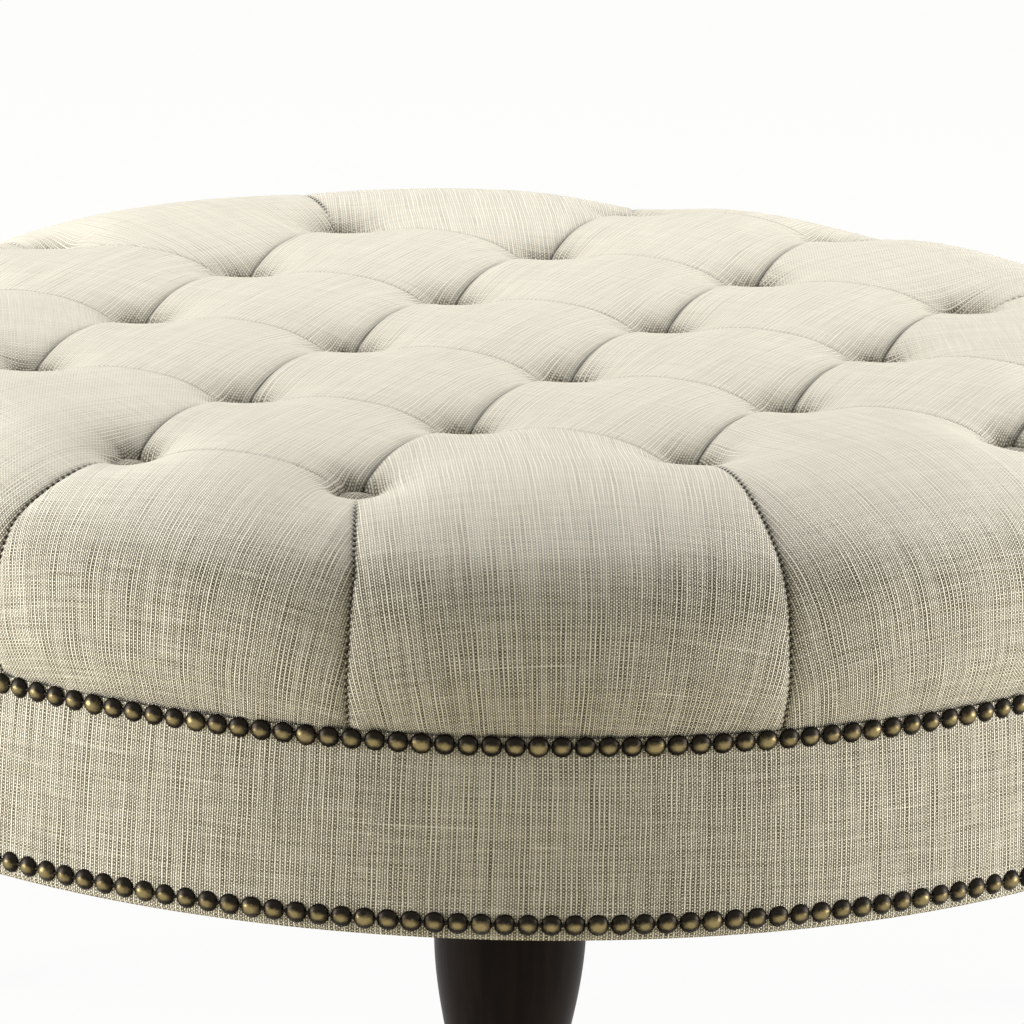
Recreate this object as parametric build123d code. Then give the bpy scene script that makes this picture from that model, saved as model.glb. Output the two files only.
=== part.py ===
from build123d import *
import math
import os

# Round tufted ottoman coffee table, in millimetres.
# The origin is on the floor under the middle, +Z is up and one leg points along -Y.

# Driving sizes
row_radius = 486.0           # middle of the nail heads of the upper row
row_gap = 108.0              # upper nail row down to lower nail row
row_flare = 7.6              # how much wider the lower row is
seat_rise = 146.0            # upper nail row up to the crest of the seat's roll
leg_length = 193.0
tuft_grid_share = 0.31358    # side of a square of buttons, of the upper row's radius
tuft_turn = 18.9             # degrees from the legs' axes to the square grid's diagonals

# Layers of the drum's wall, from outside to inside
head_middle = 2.0            # middle of a nail head outside the cloth
cloth = 1.2
soft_gap = 0.3               # a soft layer's distance from its neighbour
tack_thickness = 1.5
skirt_thickness = 1.5
skin_thickness = 4.0
wood_gap = 0.1
hole_gap = 0.1               # a screw's distance from its hole's wall
overrun = 5.0                # how far a cut runs past what it cuts

# Boards
base_thickness = 18.0
base_ring_width = 186.0      # from the upper row's radius inwards
deck_thickness = 18.0

# Legs and their fixings
leg_setback = 4.0            # legs inside the middle of the base ring's width
leg_top_radius = 45.5
leg_bulge_radius = 46.4
leg_ankle_radius = 21.0
leg_bulge_drop = 26.0
leg_wave_height = 76.0
leg_wave_radius = 31.5
leg_foot_height = 10.0
leg_foot_chamfer = 2.0
glide_radius = 16.0
glide_thickness = 5.0
glide_pin_radius = 1.6
glide_pin_length = 16.0
bolt_radius = 5.0
bolt_in_leg = 50.0
bolt_clearance = 0.6
block_side = 90.0
block_height = 40.0
tee_flange_radius = 12.0
tee_flange_thickness = 1.6
tee_barrel_radius = 6.5
tee_barrel_length = 12.0
block_screw_offset = 32.0

# Posts, rails and screws
upright_count = 12
upright_depth = 36.0
upright_width = 60.0
upright_inset = 2.5
rail_thickness = 22.0
rail_clearance = 8.0         # a rail's end from the leg's block
screw_radius = 2.2
screw_head_radius = 4.4
screw_head_height = 3.0
screw_grip = 30.0
rail_screw_shares = (0.25, 0.62, 0.95)

# Seat
panel_base_lift = 5.3        # cover's lower edge above the upper nail row
panel_bulge = 11.0
panel_bulge_height = 62.0
shoulder_drop = 48.0         # shoulder below the crest
shoulder_inset = 4.0         # shoulder inside the widest bulge
roll_width = 82.0            # upper row's radius in to where the top turns flat
roll_edge_radius = 36.0      # tighter of the roll's two arcs
side_padding = 12.0          # cover and wadding at the seat's side
wadding_thickness = 8.0
foam_hole_radius = 6.0
pleat_depth = 20.0
pleat_width_share = 0.4593   # half width of a pleat's valley, of the grid
pleat_waist_share = 0.1444
pleat_waist_rise = 12.5
pleat_rise = 21.5
pit_floor_drop = 36.0
pit_floor_radius = 14.5
pit_waist_share = 0.1706
pit_waist_rise = 20.0
pit_mouth_share = 0.4068
pit_rise = 38.0
pit_floor_thickness = 3.0    # cover left under a button
seam_depth = 7.0
seam_half_width = 9.0
seam_lean = 2.6              # degrees that a corner seam leans off its button's radius

# Buttons and twine
button_radius = 12.5
button_rise = 5.0
button_core_radius = 11.0
button_rim = 3.0
button_shank_radius = 3.5
button_shank_length = 6.0
twine_radius = 1.2
twine_hole_radius = 4.0
knot_radius = 3.0
knot_height = 4.0
washer_radius = 11.0
washer_thickness = 2.5

# Nail strips and nails
head_pitch = 13.95
nail_every = 5
strip_height = 3.4
strip_thickness = 0.8
head_radius = 6.0
head_rise = 3.4
nail_head_radius = 6.1
nail_head_rise = 3.6
shank_radius = 0.9
shank_length = 15.0

# Band, edge strips, staples and dust cover
skirt_drop = 18.0            # cover's edge below the upper nail row
tack_drop = 7.0
band_top_lift = 5.0
tack_top_lift = 4.0
band_turn_under = 40.0
staple_width = 10.0
staple_wire = 0.6
staple_leg = 3.4
cover_staple_count = 36
cover_staple_drop = 13.0
dust_staple_count = 32
dust_staple_leg = 8.0
dust_thickness = 0.6
dust_overlap = 20.0
leg_hole_gap = 2.0

# Plan sizes worked out from the sizes above
base_inner_radius = row_radius - base_ring_width
leg_circle = row_radius - base_ring_width / 2 - leg_setback
rail_end = leg_circle - block_side / 2 - rail_clearance
crest_radius = row_radius - roll_width
tuft_grid = row_radius * tuft_grid_share
pleat_half_width = tuft_grid * pleat_width_share
pleat_waist = tuft_grid * pleat_waist_share
pit_waist_radius = tuft_grid * pit_waist_share
pit_mouth_radius = tuft_grid * pit_mouth_share
upper_head_count = round(math.tau * row_radius / head_pitch)
lower_head_count = round(math.tau * (row_radius + row_flare) / head_pitch)

# Heights worked out from the sizes above
frame_z = glide_thickness + leg_length
base_top_z = frame_z + base_thickness
lower_row_z = frame_z + base_thickness / 2
upper_row_z = lower_row_z + row_gap
deck_z = upper_row_z - deck_thickness / 2
deck_top_z = deck_z + deck_thickness
crest_z = upper_row_z + seat_rise
cover_edge_z = upper_row_z + panel_base_lift

# Depths of the wall's layers behind the cloth's face at the nails
seat_radius = row_radius - head_middle
tack_depth = cloth + soft_gap
skirt_depth = tack_depth + tack_thickness + soft_gap
skin_depth = skirt_depth + skirt_thickness + soft_gap
frame_depth = skin_depth + skin_thickness + wood_gap
flare_slope = row_flare / row_gap

# Buttons of the turned square grid, as half diagonals along its two axes
half_diagonal = tuft_grid / math.sqrt(2)
field_reach = 4
field_limit_share = 3.7


def wall_radius(z, depth=0.0):
    """Radius of the flared wall at a height, at a depth behind the cloth's face."""
    return seat_radius + (upper_row_z - z) * flare_slope - depth


def revolved(*points):
    """Solid turned about Z from a closed outline of (radius, height) points."""
    outline = [(r, 0, z) for r, z in points]
    return revolve(make_face(Polyline(*outline, close=True)), Axis.Z)


def wall_ring(outer_depth, inner_depth, low, high):
    """One flared layer of the drum's wall."""
    return revolved(
        (wall_radius(low, inner_depth), low),
        (wall_radius(low, outer_depth), low),
        (wall_radius(high, outer_depth), high),
        (wall_radius(high, inner_depth), high),
    )


def around(count, start=0.0):
    """Equal angles round the table, in degrees."""
    return [start + 360.0 * k / count for k in range(count)]


def cylinder_up(radius, low, high, x=0.0, y=0.0):
    """Upright cylinder between two heights."""
    body = Cylinder(radius, high - low, align=(Align.CENTER, Align.CENTER, Align.MIN))
    return Pos(x, y, low) * body


def polar(radius, angle):
    """Point at a radius and an angle in degrees."""
    return radius * math.cos(math.radians(angle)), radius * math.sin(math.radians(angle))


def solids_of(shape):
    """The separate solids of a shape."""
    return shape.solids() if hasattr(shape, "solids") else [shape]


def group(shapes):
    """Several separate solids as one compound."""
    members = [solid for shape in shapes for solid in solids_of(shape)]
    return Compound(children=members)


def cut(body, tools):
    """A body with all its holes cut at once."""
    return body.cut(*[solid for tool in tools for solid in solids_of(tool)])


def save(name, shape):
    """Write one piece to its STEP file."""
    export_step(shape, "parts/" + name + ".step")


# Buttons

def tuft_points():
    """Button places (u, v) on the grid: u + v odd, inside the field."""
    reach = range(-field_reach, field_reach + 1)
    return [(u, v) for u in reach for v in reach
            if (u + v) % 2 and math.hypot(u, v) < field_limit_share]


def tuft_place(u, v):
    """Where a button stands on the seat."""
    return Rot(0, 0, tuft_turn) * Pos(u * half_diagonal, v * half_diagonal, 0)


def tuft_xy(u, v):
    """A button's x and y."""
    spot = tuft_place(u, v).position
    return spot.X, spot.Y


def tuft_floor_z():
    """Height of the cover at the bottom of a tuft."""
    return crest_z - pit_floor_drop


# Seat forms

def seat_outline(inset):
    """Half outline of the seat without tufts: its foot, bulge, shoulder, and the roll's two arcs."""
    low = (wall_radius(cover_edge_z) - inset, cover_edge_z)
    bulge = (seat_radius + panel_bulge - inset, upper_row_z + panel_bulge_height)
    shoulder = (bulge[0] - shoulder_inset, crest_z - inset - shoulder_drop)
    crest = (crest_radius, crest_z - inset)
    tight = roll_edge_radius
    run = shoulder[0] - crest[0]
    drop = crest[1] - shoulder[1]
    wide = (run * run + drop * drop - 2 * run * tight) / (2 * (drop - tight))
    turn = math.atan2(run - tight, wide - drop)
    wide_middle = (crest[0], crest[1] - wide)
    tight_middle = (shoulder[0] - tight, shoulder[1])
    join = on_circle(wide_middle, wide, turn)
    half_wide = on_circle(wide_middle, wide, turn / 2)
    half_tight = on_circle(tight_middle, tight, (turn + math.pi / 2) / 2)
    return low, bulge, shoulder, half_tight, join, half_wide, crest


def on_circle(middle, radius, turn):
    """Point of a circle at an angle from straight up, turning outwards."""
    return middle[0] + radius * math.sin(turn), middle[1] + radius * math.cos(turn)


def seat_blank():
    """The seat's form before tufting: a drum with a bulging side and a rolled edge."""
    low, bulge, shoulder, half_tight, join, half_wide, crest = ((r, 0, z) for r, z in seat_outline(0.0))
    foot = (0, 0, low[2])
    top = (0, 0, crest[2])
    edges = [
        Line(foot, low),
        ThreePointArc(low, bulge, shoulder),
        ThreePointArc(shoulder, half_tight, join),
        ThreePointArc(join, half_wide, crest),
        Line(crest, top),
        Line(top, foot),
    ]
    return revolve(make_face([part.edge() for part in edges]), Axis.Z)


def pleat_tool():
    """A pleat's hollow, as long as one side of a diamond, along X."""
    bottom = crest_z - pleat_depth
    rim = bottom + pleat_rise
    half = tuft_grid / 2 - pit_floor_radius * 2
    waist_z = bottom + pleat_waist_rise
    right = ThreePointArc((-half, 0, bottom), (-half, pleat_waist, waist_z), (-half, pleat_half_width, rim))
    left = ThreePointArc((-half, -pleat_half_width, rim), (-half, -pleat_waist, waist_z), (-half, 0, bottom))
    lid = Line((-half, pleat_half_width, rim), (-half, -pleat_half_width, rim))
    return extrude(make_face([right.edge(), lid.edge(), left.edge()]), amount=2 * half, dir=(1, 0, 0))


def pit_tool():
    """A tuft's funnel, from the button's seat up past the seat's top."""
    floor = tuft_floor_z()
    wall = ThreePointArc(
        (pit_floor_radius, 0, floor),
        (pit_waist_radius, 0, floor + pit_waist_rise),
        (pit_mouth_radius, 0, floor + pit_rise))
    top = floor + pit_rise
    edges = [
        Line((0, 0, floor), (pit_floor_radius, 0, floor)),
        wall,
        Line((pit_mouth_radius, 0, top), (0, 0, top)),
        Line((0, 0, top), (0, 0, floor)),
    ]
    return revolve(make_face([part.edge() for part in edges]), Axis.Z)


def pleat_places():
    """Middle and direction of every pleat between two neighbouring buttons."""
    tufts = set(tuft_points())
    places = []
    for u, v in sorted(tufts):
        for side in (1, -1):
            if (u + 1, v + side) in tufts:
                middle = tuft_place(u + 1 / 2, v + side / 2)
                places.append(middle * Rot(0, 0, math.degrees(math.atan2(side, 1))))
    return places


def seam_starts():
    """The outer buttons, where the border's seams start."""
    return [(u, v) for u, v in tuft_points() if max(abs(u), abs(v)) == field_reach - 1]


def seam_face(start, depth, side):
    """A seam's cut across the border as a face, at a depth under the cover, beside the seam's own plane."""
    outline = seat_outline(depth)
    outer = seat_radius + panel_bulge + overrun
    high = crest_z + overrun
    corners = [(start, outline[-1][1]), (start, high), (outer, high), (outer, outline[0][1])]
    low, bulge, shoulder, half_tight, join, half_wide, crest = ((r, side, z) for r, z in outline)
    head, top, far, foot = ((r, side, z) for r, z in corners)
    edges = [
        ThreePointArc(low, bulge, shoulder),
        ThreePointArc(shoulder, half_tight, join),
        ThreePointArc(join, half_wide, crest),
        Line(crest, head),
        Line(head, top),
        Line(top, far),
        Line(far, foot),
        Line(foot, low),
    ]
    return make_face([part.edge() for part in edges])


def seam_tool(start):
    """A V-shaped seam across the border, at angle zero, from a start radius outwards."""
    deep = seam_face(start, seam_depth, 0)
    halves = []
    for side in (-1, 1):
        edge = seam_face(start, -overrun / 2, side * seam_half_width)
        halves.append(loft([deep, edge], ruled=True))
    return halves[0].fuse(halves[1])


def seam_places():
    """Place and start of each border seam: from its button outwards, leaning a little at the corners."""
    places = []
    for u, v in seam_starts():
        x, y = tuft_xy(u, v)
        angle = math.degrees(math.atan2(y, x))
        lean = 0.0
        if u and v:
            lean = seam_lean if (abs(v) > abs(u)) == (u * v > 0) else -seam_lean
        foot = polar(seat_radius, angle + lean)
        along = math.degrees(math.atan2(foot[1] - y, foot[0] - x))
        reach = seat_radius - math.hypot(foot[0] - x, foot[1] - y)
        shift = polar(reach, along)
        places.append((Pos(x - shift[0], y - shift[1], 0) * Rot(0, 0, along), reach))
    return places


def hollow_z():
    """Height of the cover's flat underside, just below the tufts."""
    return tuft_floor_z() - pit_floor_thickness


def inner_radius():
    """Radius of the hollow that the foam and its wadding fill."""
    return wall_radius(upper_row_z) - side_padding


def tufted_cover():
    """The tufted cover with its own wadding: tufts, pleats and seams above, a plain hollow below."""
    tools = [place * pleat_tool() for place in pleat_places()]
    tools += [tuft_place(u, v) * pit_tool() for u, v in tuft_points()]
    tools += [place * seam_tool(start) for place, start in seam_places()]
    tools.append(cylinder_up(inner_radius(), cover_edge_z - overrun, hollow_z()))
    rim = wall_radius(cover_edge_z, skirt_depth + skirt_thickness)
    tools.append(cylinder_up(rim, cover_edge_z - overrun, deck_top_z + soft_gap))
    tools += tuft_holes(button_shank_radius + hole_gap, hollow_z() - overrun)
    return cut(seat_blank(), tools).fuse(cover_hem())


# Nails, strips and staples

def dome(radius, rise):
    """A low dome on the XY plane."""
    ball = (radius * radius + rise * rise) / (2 * rise)
    below = Box(2 * ball + overrun, 2 * ball + overrun, 2 * ball, align=(Align.CENTER, Align.CENTER, Align.MAX))
    return (Pos(0, 0, rise - ball) * Sphere(ball)).cut(below)


def facing_out(radius, angle, z):
    """Place whose Z points straight out from the table at an angle."""
    return Rot(0, 0, angle) * Pos(radius, 0, z) * Rot(0, 90, 0)


def nail_angles(count):
    """Angles of a row's real nails, one at every fifth head, with two together at the splice."""
    return around(count)[::nail_every]


def false_head_angles(count):
    """Angles of a row's false heads."""
    real = set(nail_angles(count))
    return [angle for angle in around(count) if angle not in real]


def strip_face(z):
    """Distance of a strip's outer face from the table's axis."""
    return wall_radius(z) + soft_gap + strip_thickness


def nails(count, z):
    """A row's real nails, each a dome on the strip and a shank driven into the drum."""
    shank = Pos(0, 0, -shank_length) * cylinder_up(shank_radius, 0.0, shank_length)
    nail = dome(nail_head_radius, nail_head_rise).fuse(shank)
    return group([facing_out(strip_face(z), angle, z) * nail for angle in nail_angles(count)])


def nail_strip(count, z):
    """A row's stamped strip: a thin faceted band with its false heads on it."""
    inner = wall_radius(z) + soft_gap
    flat = math.cos(math.pi / count)
    sides = [polar(1.0, angle) for angle in around(count, 180.0 / count)]
    outer_line = [(x * strip_face(z) / flat, y * strip_face(z) / flat) for x, y in sides]
    inner_line = [(x * inner / flat, y * inner / flat) for x, y in sides]
    face = make_face(Polyline(*outer_line, close=True)) - make_face(Polyline(*inner_line, close=True))
    band = Pos(0, 0, z - strip_height / 2) * extrude(face, amount=strip_height)
    head = dome(head_radius, head_rise)
    return group([band] + [facing_out(strip_face(z), angle, z) * head for angle in false_head_angles(count)])


def staple(leg):
    """A staple with its crown on the XY plane and its legs down."""
    crown = Box(staple_width, staple_wire, staple_wire, align=(Align.CENTER, Align.CENTER, Align.MIN))
    prong = Box(staple_wire, staple_wire, leg, align=(Align.CENTER, Align.CENTER, Align.MAX))
    offset = (staple_width - staple_wire) / 2
    return crown.fuse(Pos(offset, 0, 0) * prong, Pos(-offset, 0, 0) * prong)


def cover_staple_places():
    """Where the cover's staples sit on its edge."""
    z = upper_row_z - cover_staple_drop
    radius = wall_radius(z, skirt_depth) + hole_gap
    return [facing_out(radius, angle, z) * Rot(0, 0, 90) for angle in around(cover_staple_count)]


def dust_staple_places():
    """Where the dust cover's staples sit, crown down, between the legs."""
    z = frame_z - cloth - 2 * soft_gap - dust_thickness - hole_gap
    radius = dust_radius() - dust_overlap / 2
    return [Rot(0, 0, angle) * Pos(radius, 0, z) * Rot(180, 0, 90)
            for angle in around(dust_staple_count, 180.0 / dust_staple_count)]


def dust_radius():
    """Radius of the dust cover, which laps over the band's turned edge."""
    return wall_radius(frame_z) - band_turn_under + dust_overlap


# Legs

def leg():
    """A turned leg with a bulging top and a slim ankle, bored for its bolt and glide."""
    low = glide_thickness
    bulge_z = frame_z - leg_bulge_drop
    wave_z = low + leg_wave_height
    ankle_z = low + leg_foot_height
    top = (leg_top_radius, 0, frame_z)
    middle_z = (bulge_z + wave_z) / 2
    middle_r = leg_wave_radius + (leg_bulge_radius - leg_wave_radius) * 3 / 4
    lower_z = (wave_z + ankle_z) / 2
    lower_r = leg_ankle_radius + (leg_wave_radius - leg_ankle_radius) / 4
    rim_r = leg_ankle_radius - leg_foot_chamfer
    edges = [
        Line((0, 0, low), (rim_r, 0, low)),
        Line((rim_r, 0, low), (leg_ankle_radius, 0, low + leg_foot_chamfer)),
        Line((leg_ankle_radius, 0, low + leg_foot_chamfer), (leg_ankle_radius, 0, ankle_z)),
        ThreePointArc((leg_ankle_radius, 0, ankle_z), (lower_r, 0, lower_z), (leg_wave_radius, 0, wave_z)),
        ThreePointArc((leg_wave_radius, 0, wave_z), (middle_r, 0, middle_z), (leg_bulge_radius, 0, bulge_z)),
        Line((leg_bulge_radius, 0, bulge_z), top),
        Line(top, (0, 0, frame_z)),
        Line((0, 0, frame_z), (0, 0, low)),
    ]
    turned = revolve(make_face([part.edge() for part in edges]), Axis.Z)
    bolt_bore = cylinder_up(bolt_radius, frame_z - bolt_in_leg, frame_z + overrun)
    pin_bore = cylinder_up(glide_pin_radius, low - overrun, low + glide_pin_length)
    return turned.cut(bolt_bore, pin_bore)


def leg_place(angle):
    """Where a leg stands."""
    return Rot(0, 0, angle) * Pos(leg_circle, 0, 0)


def glide():
    """A nail-on glide: a chamfered disc and its pin."""
    disc = cylinder_up(glide_radius, 0.0, glide_thickness)
    disc = chamfer(disc.edges().group_by(Axis.Z)[0], length=glide_thickness / 4)
    return disc.fuse(cylinder_up(glide_pin_radius, glide_thickness, glide_thickness + glide_pin_length))


def tee_nut():
    """Tee nut: a flange on the block and a threaded barrel in it."""
    top = base_top_z + block_height
    flange = cylinder_up(tee_flange_radius, top, top + tee_flange_thickness)
    barrel = cylinder_up(tee_barrel_radius, top - tee_barrel_length, top)
    bore = cylinder_up(bolt_radius, top - tee_barrel_length - overrun, top + tee_flange_thickness + overrun)
    return flange.fuse(barrel).cut(bore)


def leg_bolt():
    """Hanger bolt from the leg up through the base ring, the block and the tee nut."""
    top = base_top_z + block_height + tee_flange_thickness
    return cylinder_up(bolt_radius, frame_z - bolt_in_leg, top)


def leg_block():
    """Hardwood block over a leg, bored for the bolt and the tee nut's barrel."""
    body = Box(block_side, block_side, block_height, align=(Align.CENTER, Align.CENTER, Align.MIN))
    body = Pos(0, 0, base_top_z) * body
    top = base_top_z + block_height
    bore = cylinder_up(bolt_radius + bolt_clearance, base_top_z - overrun, top + overrun)
    seat = cylinder_up(tee_barrel_radius, top - tee_barrel_length, top + overrun)
    return body.cut(bore, seat, *[place * screw_hole() for place in block_screw_places()])


# Screws

def screw(grow=0.0):
    """Countersunk screw, head flush with the XY plane and pointing down, or its hole when grown."""
    shaft = cylinder_up(screw_radius + grow, -deck_thickness - screw_grip - grow, 0.0)
    sink = Cone(screw_radius + grow, screw_head_radius + grow, screw_head_height,
                align=(Align.CENTER, Align.CENTER, Align.MAX))
    return shaft.fuse(sink)


def screw_hole():
    """Hole for a screw that points up from the base ring's underside."""
    return screw(hole_gap)


def block_screw_places():
    """The two screws under each block, on a diagonal."""
    up = Rot(180, 0, 0)
    return [Pos(side * block_screw_offset, side * block_screw_offset, frame_z) * up for side in (-1, 1)]


def upright_radius():
    """Radius of the middle of an upright, just inside the drum's wall."""
    edge = wall_radius(deck_z, frame_depth) - upright_inset
    return math.sqrt(edge * edge - (upright_width / 2) ** 2) - upright_depth / 2


def upright_angles():
    """The uprights stand either side of each leg."""
    return around(upright_count, 180.0 / upright_count)


def base_screw_places():
    """Screws up into the uprights."""
    return [Rot(0, 0, angle) * Pos(upright_radius(), 0, frame_z) * Rot(180, 0, 0) for angle in upright_angles()]


def deck_screw_places():
    """Screws down into the uprights and the rails."""
    places = [Rot(0, 0, angle) * Pos(upright_radius(), 0, deck_top_z) for angle in upright_angles()]
    for angle in around(4):
        places += [Rot(0, 0, angle) * Pos(base_inner_radius * share, 0, deck_top_z)
                   for share in rail_screw_shares]
    return places


# Frame

def base_ring():
    """Plywood ring that carries the drum and the legs."""
    ring = revolved(
        (base_inner_radius, frame_z),
        (wall_radius(frame_z, frame_depth), frame_z),
        (wall_radius(base_top_z, frame_depth), base_top_z),
        (base_inner_radius, base_top_z),
    )
    bores = [leg_place(angle) * cylinder_up(bolt_radius + bolt_clearance, frame_z - overrun, base_top_z + overrun)
             for angle in around(4)]
    holes = [leg_place(angle) * place * screw_hole() for angle in around(4) for place in block_screw_places()]
    holes += [place * screw_hole() for place in base_screw_places()]
    return cut(ring, bores + holes)


def deck_board():
    """Plywood disc under the seat, bored for the twine."""
    disc = revolved(
        (0.0, deck_z),
        (wall_radius(deck_z, frame_depth), deck_z),
        (wall_radius(deck_top_z, frame_depth), deck_top_z),
        (0.0, deck_top_z),
    )
    holes = [tuft_place(u, v) * cylinder_up(twine_hole_radius, deck_z - overrun, deck_top_z + overrun)
             for u, v in tuft_points()]
    holes += [place * screw(hole_gap) for place in deck_screw_places()]
    return cut(disc, holes)


def upright():
    """Post between the base ring and the deck, at angle zero."""
    body = Box(upright_depth, upright_width, deck_z - base_top_z, align=(Align.CENTER, Align.CENTER, Align.MIN))
    body = Pos(upright_radius(), 0, base_top_z) * body
    low = Pos(upright_radius(), 0, frame_z) * Rot(180, 0, 0) * screw_hole()
    high = Pos(upright_radius(), 0, deck_top_z) * screw(hole_gap)
    return body.cut(low, high)


def rail(lap_up):
    """One of the two rails on edge, halved into the other at the middle."""
    height = deck_z - base_top_z
    length = 2 * rail_end
    body = Box(length, rail_thickness, height, align=(Align.CENTER, Align.CENTER, Align.MIN))
    body = Pos(0, 0, base_top_z) * body
    notch_side = rail_thickness + 2 * wood_gap
    notch = Box(notch_side, notch_side + overrun, height / 2 + overrun, align=(Align.CENTER, Align.CENTER, Align.MIN))
    middle = base_top_z + height / 2
    place = Pos(0, 0, middle) if lap_up else Pos(0, 0, base_top_z - overrun)
    holes = [Rot(0, 0, angle) * Pos(base_inner_radius * share, 0, deck_top_z) * screw(hole_gap)
             for angle in (0, 180) for share in rail_screw_shares]
    return cut(body, [place * notch] + holes)


def skin_panel():
    """Bent panel round the drum, from the base ring's underside to the deck's top."""
    return wall_ring(skin_depth, skin_depth + skin_thickness, frame_z, deck_top_z)


# Seat pieces

def foam():
    """Foam block on the deck, with a hole under each button."""
    top = hollow_z() - wadding_thickness - 2 * soft_gap
    block = cylinder_up(inner_radius() - soft_gap, deck_top_z, top)
    return cut(block, tuft_holes(foam_hole_radius, deck_top_z - overrun))


def wadding():
    """Wadding laid over the foam, with a hole under each button."""
    top = hollow_z() - soft_gap
    layer = cylinder_up(inner_radius() - soft_gap, top - wadding_thickness, top)
    return cut(layer, tuft_holes(foam_hole_radius, top - wadding_thickness - overrun))


def tuft_holes(radius, low):
    """The upright holes under the buttons."""
    return [tuft_place(u, v) * cylinder_up(radius, low, crest_z + overrun) for u, v in tuft_points()]


def cover_hem():
    """Cover's lower edge, stapled to the drum's wall."""
    return wall_ring(skirt_depth, skirt_depth + skirt_thickness, upper_row_z - skirt_drop, cover_edge_z)


def button_core():
    """A button's metal core: a domed disc with a shank for the twine."""
    low = tuft_floor_z() + cloth
    disc = cylinder_up(button_core_radius, low, low + button_rim)
    top = Pos(0, 0, low + button_rim) * dome(button_core_radius, button_rise - cloth)
    shank = cylinder_up(button_shank_radius, low - button_shank_length, low)
    return disc.fuse(top, shank)


def button_cap():
    """A button's cloth, drawn over its core and turned under."""
    floor = tuft_floor_z() + soft_gap
    low = tuft_floor_z() + cloth
    body = cylinder_up(button_radius, floor, low + button_rim)
    body = body.fuse(Pos(0, 0, low + button_rim) * dome(button_radius, button_rise))
    mouth = cylinder_up(button_core_radius / 2, floor - overrun, low)
    return body.cut(button_core(), mouth)


def twine():
    """Twine from a button's shank down through the deck to its knot."""
    top = tuft_floor_z() + cloth - button_shank_length
    knot_top = deck_z - washer_thickness
    line = cylinder_up(twine_radius, knot_top, top)
    return line.fuse(cylinder_up(knot_radius, knot_top - knot_height, knot_top))


def washer():
    """Washer under the deck that the knot pulls against."""
    disc = cylinder_up(washer_radius, deck_z - washer_thickness, deck_z)
    return disc.cut(cylinder_up(twine_radius + hole_gap, deck_z - washer_thickness - overrun, deck_z + overrun))


# Band and dust cover

def band_cloth():
    """Cloth band between the nail rows, turned under the drum."""
    high = upper_row_z + band_top_lift
    under = frame_z - soft_gap
    low = under - cloth
    turn = wall_radius(frame_z) - band_turn_under
    return revolved(
        (turn, low),
        (wall_radius(low), low),
        (wall_radius(high), high),
        (wall_radius(high, cloth), high),
        (wall_radius(under, cloth), under),
        (turn, under),
    )


def band_padding():
    """Thin wadding between skin and band."""
    return wall_ring(cloth + soft_gap, skin_depth - soft_gap, frame_z, upper_row_z - skirt_drop - soft_gap)


def tack_strip():
    """Cardboard strip behind the band's upper edge."""
    return wall_ring(tack_depth, tack_depth + tack_thickness, upper_row_z - tack_drop, upper_row_z + tack_top_lift)


def dust_cover():
    """Black cloth under the table, cut out round the legs."""
    high = frame_z - cloth - 2 * soft_gap
    sheet = cylinder_up(dust_radius(), high - dust_thickness, high)
    holes = [leg_place(angle) * cylinder_up(leg_bulge_radius + leg_hole_gap, high - dust_thickness - overrun,
                                            high + overrun) for angle in around(4)]
    return cut(sheet, holes)


def build():
    """Build every piece and write it to its own file."""
    os.makedirs("parts", exist_ok=True)

    for name, angle in zip(("leg_right", "leg_back", "leg_left", "leg_front"), around(4)):
        save(name, leg_place(angle) * leg())
    save("leg_glides", group([leg_place(angle) * glide() for angle in around(4)]))
    save("leg_bolts", group([leg_place(angle) * leg_bolt() for angle in around(4)]))
    save("leg_tee_nuts", group([leg_place(angle) * tee_nut() for angle in around(4)]))
    save("leg_blocks", group([leg_place(angle) * leg_block() for angle in around(4)]))
    save("leg_block_screws", group([leg_place(angle) * place * screw()
                                    for angle in around(4) for place in block_screw_places()]))

    save("base_ring", base_ring())
    save("uprights", group([Rot(0, 0, angle) * upright() for angle in upright_angles()]))
    save("long_rail", rail(True))
    save("cross_rail", Rot(0, 0, 90) * rail(False))
    save("deck_board", deck_board())
    save("skin_panel", skin_panel())
    save("base_screws", group([place * screw() for place in base_screw_places()]))
    save("deck_screws", group([place * screw() for place in deck_screw_places()]))

    save("tufted_cover", tufted_cover())
    save("seat_wadding", wadding())
    save("seat_foam", foam())

    spots = [tuft_place(u, v) for u, v in tuft_points()]
    save("button_cores", group([spot * button_core() for spot in spots]))
    save("button_caps", group([spot * button_cap() for spot in spots]))
    save("tuft_twines", group([spot * twine() for spot in spots]))
    save("twine_washers", group([spot * washer() for spot in spots]))

    save("cover_staples", group([place * staple(staple_leg) for place in cover_staple_places()]))
    save("tack_strip", tack_strip())
    save("band_padding", band_padding())
    save("band_cloth", band_cloth())
    save("upper_nail_strip", nail_strip(upper_head_count, upper_row_z))
    save("upper_nails", nails(upper_head_count, upper_row_z))
    save("lower_nail_strip", nail_strip(lower_head_count, lower_row_z))
    save("lower_nails", nails(lower_head_count, lower_row_z))
    save("dust_cover", dust_cover())
    save("dust_cover_staples", group([place * staple(dust_staple_leg) for place in dust_staple_places()]))


build()
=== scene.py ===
import math

import bmesh
import bpy
import numpy as np
from mathutils import Matrix, Vector


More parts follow.
